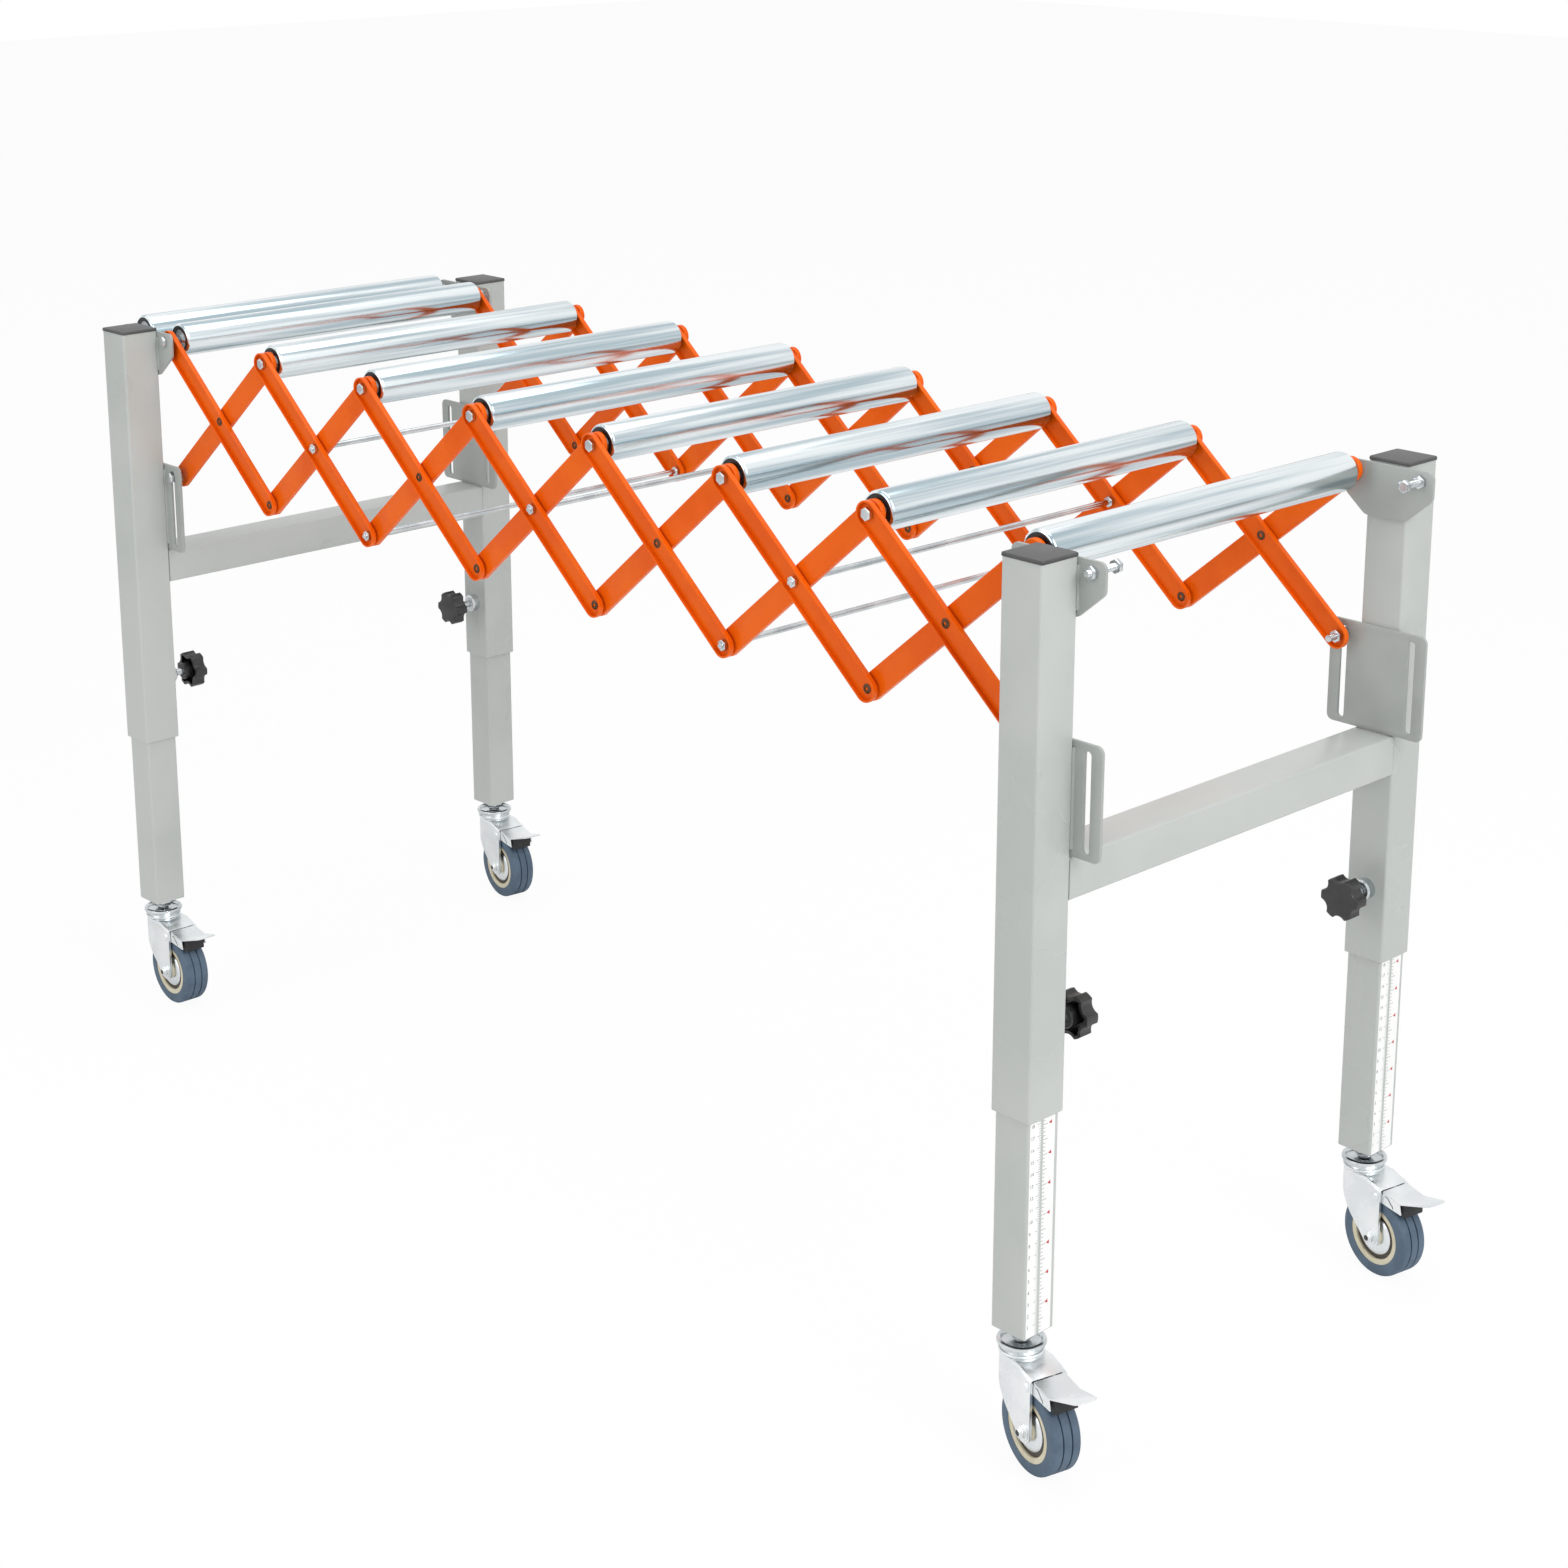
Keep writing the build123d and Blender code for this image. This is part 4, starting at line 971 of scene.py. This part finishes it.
def side_sheet(outline, inner, thickness):
    """A sheet in X and Z from (x, z) points, raised along Y from its inner face."""
    part = flat([(x, inner, z) for x, z in outline])
    raised(part, part.faces[:], (0, thickness, 0))
    return part


tread = flat([(x, way * half, 0) for x, way, half in (
    (tread_start[0], 1, pedal_half), (tread_start[0], -1, pedal_half),
    (tread_bend[0], -1, pedal_half), (tread_tip[0], -1, tip_half), (tread_tip[0], 1, tip_half),
    (tread_bend[0], 1, pedal_half))])
rounded(tread, tread.verts[:][3:5], tip_corner, 5, "VERTICES")
cut(tread, (tread_bend[0], 0, 0), (1, 0, 0), clear=False)
for point in tread.verts:
    point.co.z = pedal_under(point.co.x)
raised(tread, tread.faces[:], (0, 0, pedal_sheet))
soften(tread, tread_edge, turn=60)

ear_top, flange_start = pivot_level + ear_radius, tread_start[0] + ear_gap
flange_plan = [(pivot, ear_top), (fork_rear + ear_gap, ear_top)]
flange_plan += [(x, pedal_under(x) + pedal_sheet / 2) for x in (flange_start, tread_bend[0])]
flange_plan += [flange_end, (pivot, pivot_level - ear_radius)]
flange_plan += [(pivot - ear_radius * math.sin(math.radians(angle)),
                 pivot_level - ear_radius * math.cos(math.radians(angle)))
                for angle in range(20, 180, 20)]
flange = side_sheet(flange_plan, 0, pedal_sheet)
soften(flange, flange_edge, turn=60)
flange = kept(flange)

shoe_top = [(x, pedal_under(x)) for x in (shoe_start[0], tread_bend[0], shoe_end[0])]
shoe = side_sheet([shoe_start, *shoe_top, shoe_end], -shoe_half, 2 * shoe_half)
soften(shoe, shoe_edge, turn=20)
wire = bmesh.new()
line = [wire.verts.new((x, 0, z)) for x, z in wire_line]
along = [wire.edges.new(pair) for pair in zip(line, line[1:])]
shifted(wire, bmesh.ops.extrude_edge_only(wire, edges=along)["geom"], (wire_width, 0, wire_width))
raised(wire, wire.faces[:], (0, wire_proud, 0))
wire = kept(wire, 1)

pedal = bmesh.new()
put(pedal, kept(tread))
put(pedal, kept(shoe, 1))
for middle in (-pedal_half, pedal_half):
    put(pedal, wire, at(0, middle - wire_proud / 2))
for inner in (-pedal_half, pedal_half - pedal_sheet):
    put(pedal, flange, at(0, inner))
pedal = as_mesh(pedal)
fit_corners("folded_pedal_", [(pedal, at())], swivels, [bright_zinc_pressing, black_rubber],
            "pedal_", "caster_steel", "brake_pedal_")

# ------------------------------
# Studio: a white floor and background, soft lamps with the key from the right-hand end, and
# the camera where the photograph was taken from.

camera_place, camera_azimuth, camera_elevation = (1.9519, -1.7588, 1.2730), 46.45, 14.71
lens, sensor, frame_shift = 66.31, 36, -0.15
# Each lamp's place and size in metres, and its power in watts.
lamps = {"key": ((3.2, -0.4, 2.6), 2.2, 62), "fill": ((-0.6, -3.4, 2.0), 2.6, 30),
         "top": ((0, 0.4, 3.6), 3.0, 40)}
lamp_target, sky_strength, floor_half, floor_glow = (0, 0, 0.4), 0.55, 12, 0.94

azimuth, elevation = math.radians(camera_azimuth), math.radians(camera_elevation)
back = Vector((math.sin(azimuth) * math.cos(elevation), -math.cos(azimuth) * math.cos(elevation),
               math.sin(elevation)))


def aimed(name, data, place, away):
    """A camera or lamp at a place, with its back along a vector."""
    made = new_object(name, data)
    made.matrix_world = at(*place) @ away.to_track_quat("Z", "Y").to_matrix().to_4x4()
    return made


def cleared(owner):
    """The emptied nodes of the world or a material, and the outputs of a Light Path there."""
    owner.use_nodes = True
    owner.node_tree.nodes.clear()
    return owner.node_tree, add_node(owner.node_tree, "LightPath", {}).outputs


eye = bpy.data.cameras.new("camera")
eye.lens, eye.sensor_width, eye.shift_y = lens, sensor, frame_shift
bpy.context.scene.camera = aimed("camera", eye, camera_place, back)
for name, (place, size, power) in lamps.items():
    light = bpy.data.lights.new(name, "AREA")
    light.shape, light.size, light.energy = "DISK", size, power
    aimed(name, light, place, Vector(place) - Vector(lamp_target))

# White paper seen past the object and in its gloss, and a dimmer sky that lights it.
world = bpy.data.worlds.new("studio")
bpy.context.scene.world = world
tree, seen = cleared(world)
direct = seen["Is Camera Ray"]
for ray in ("Is Glossy Ray", "Is Transmission Ray"):
    direct = add_node(tree, "Math", {0: direct, 1: seen[ray]}, operation="MAXIMUM").outputs[0]
strength = add_node(tree, "MapRange", {"Value": direct, "To Min": sky_strength, "To Max": 1.0})
sky = add_node(tree, "Background",
               {"Color": linear("#FFFFFF"), "Strength": strength.outputs["Result"]})
add_node(tree, "OutputWorld", {"Surface": sky.outputs["Background"]})

sheet = bmesh.new()
bmesh.ops.create_grid(sheet, x_segments=1, y_segments=1, size=floor_half)
floor = new_object("floor", as_mesh(sheet, "floor"))
paper = bpy.data.materials.new("white_paper_floor")
tree, seen = cleared(paper)
matt = add_node(tree, "BsdfDiffuse", {"Color": linear("#F3F3F3")})
glow = add_node(tree, "Emission", {"Color": linear("#FFFFFF"), "Strength": 1.0})
share = add_node(tree, "MapRange",
                 {"Value": seen["Is Camera Ray"], "To Min": 0.0, "To Max": floor_glow})
mixed = add_node(tree, "MixShader",
                 {0: share.outputs["Result"], 1: matt.outputs[0], 2: glow.outputs[0]})
add_node(tree, "OutputMaterial", {"Surface": mixed.outputs[0]})
floor.data.materials.append(paper)

bpy.context.scene.view_settings.view_transform = "Standard"
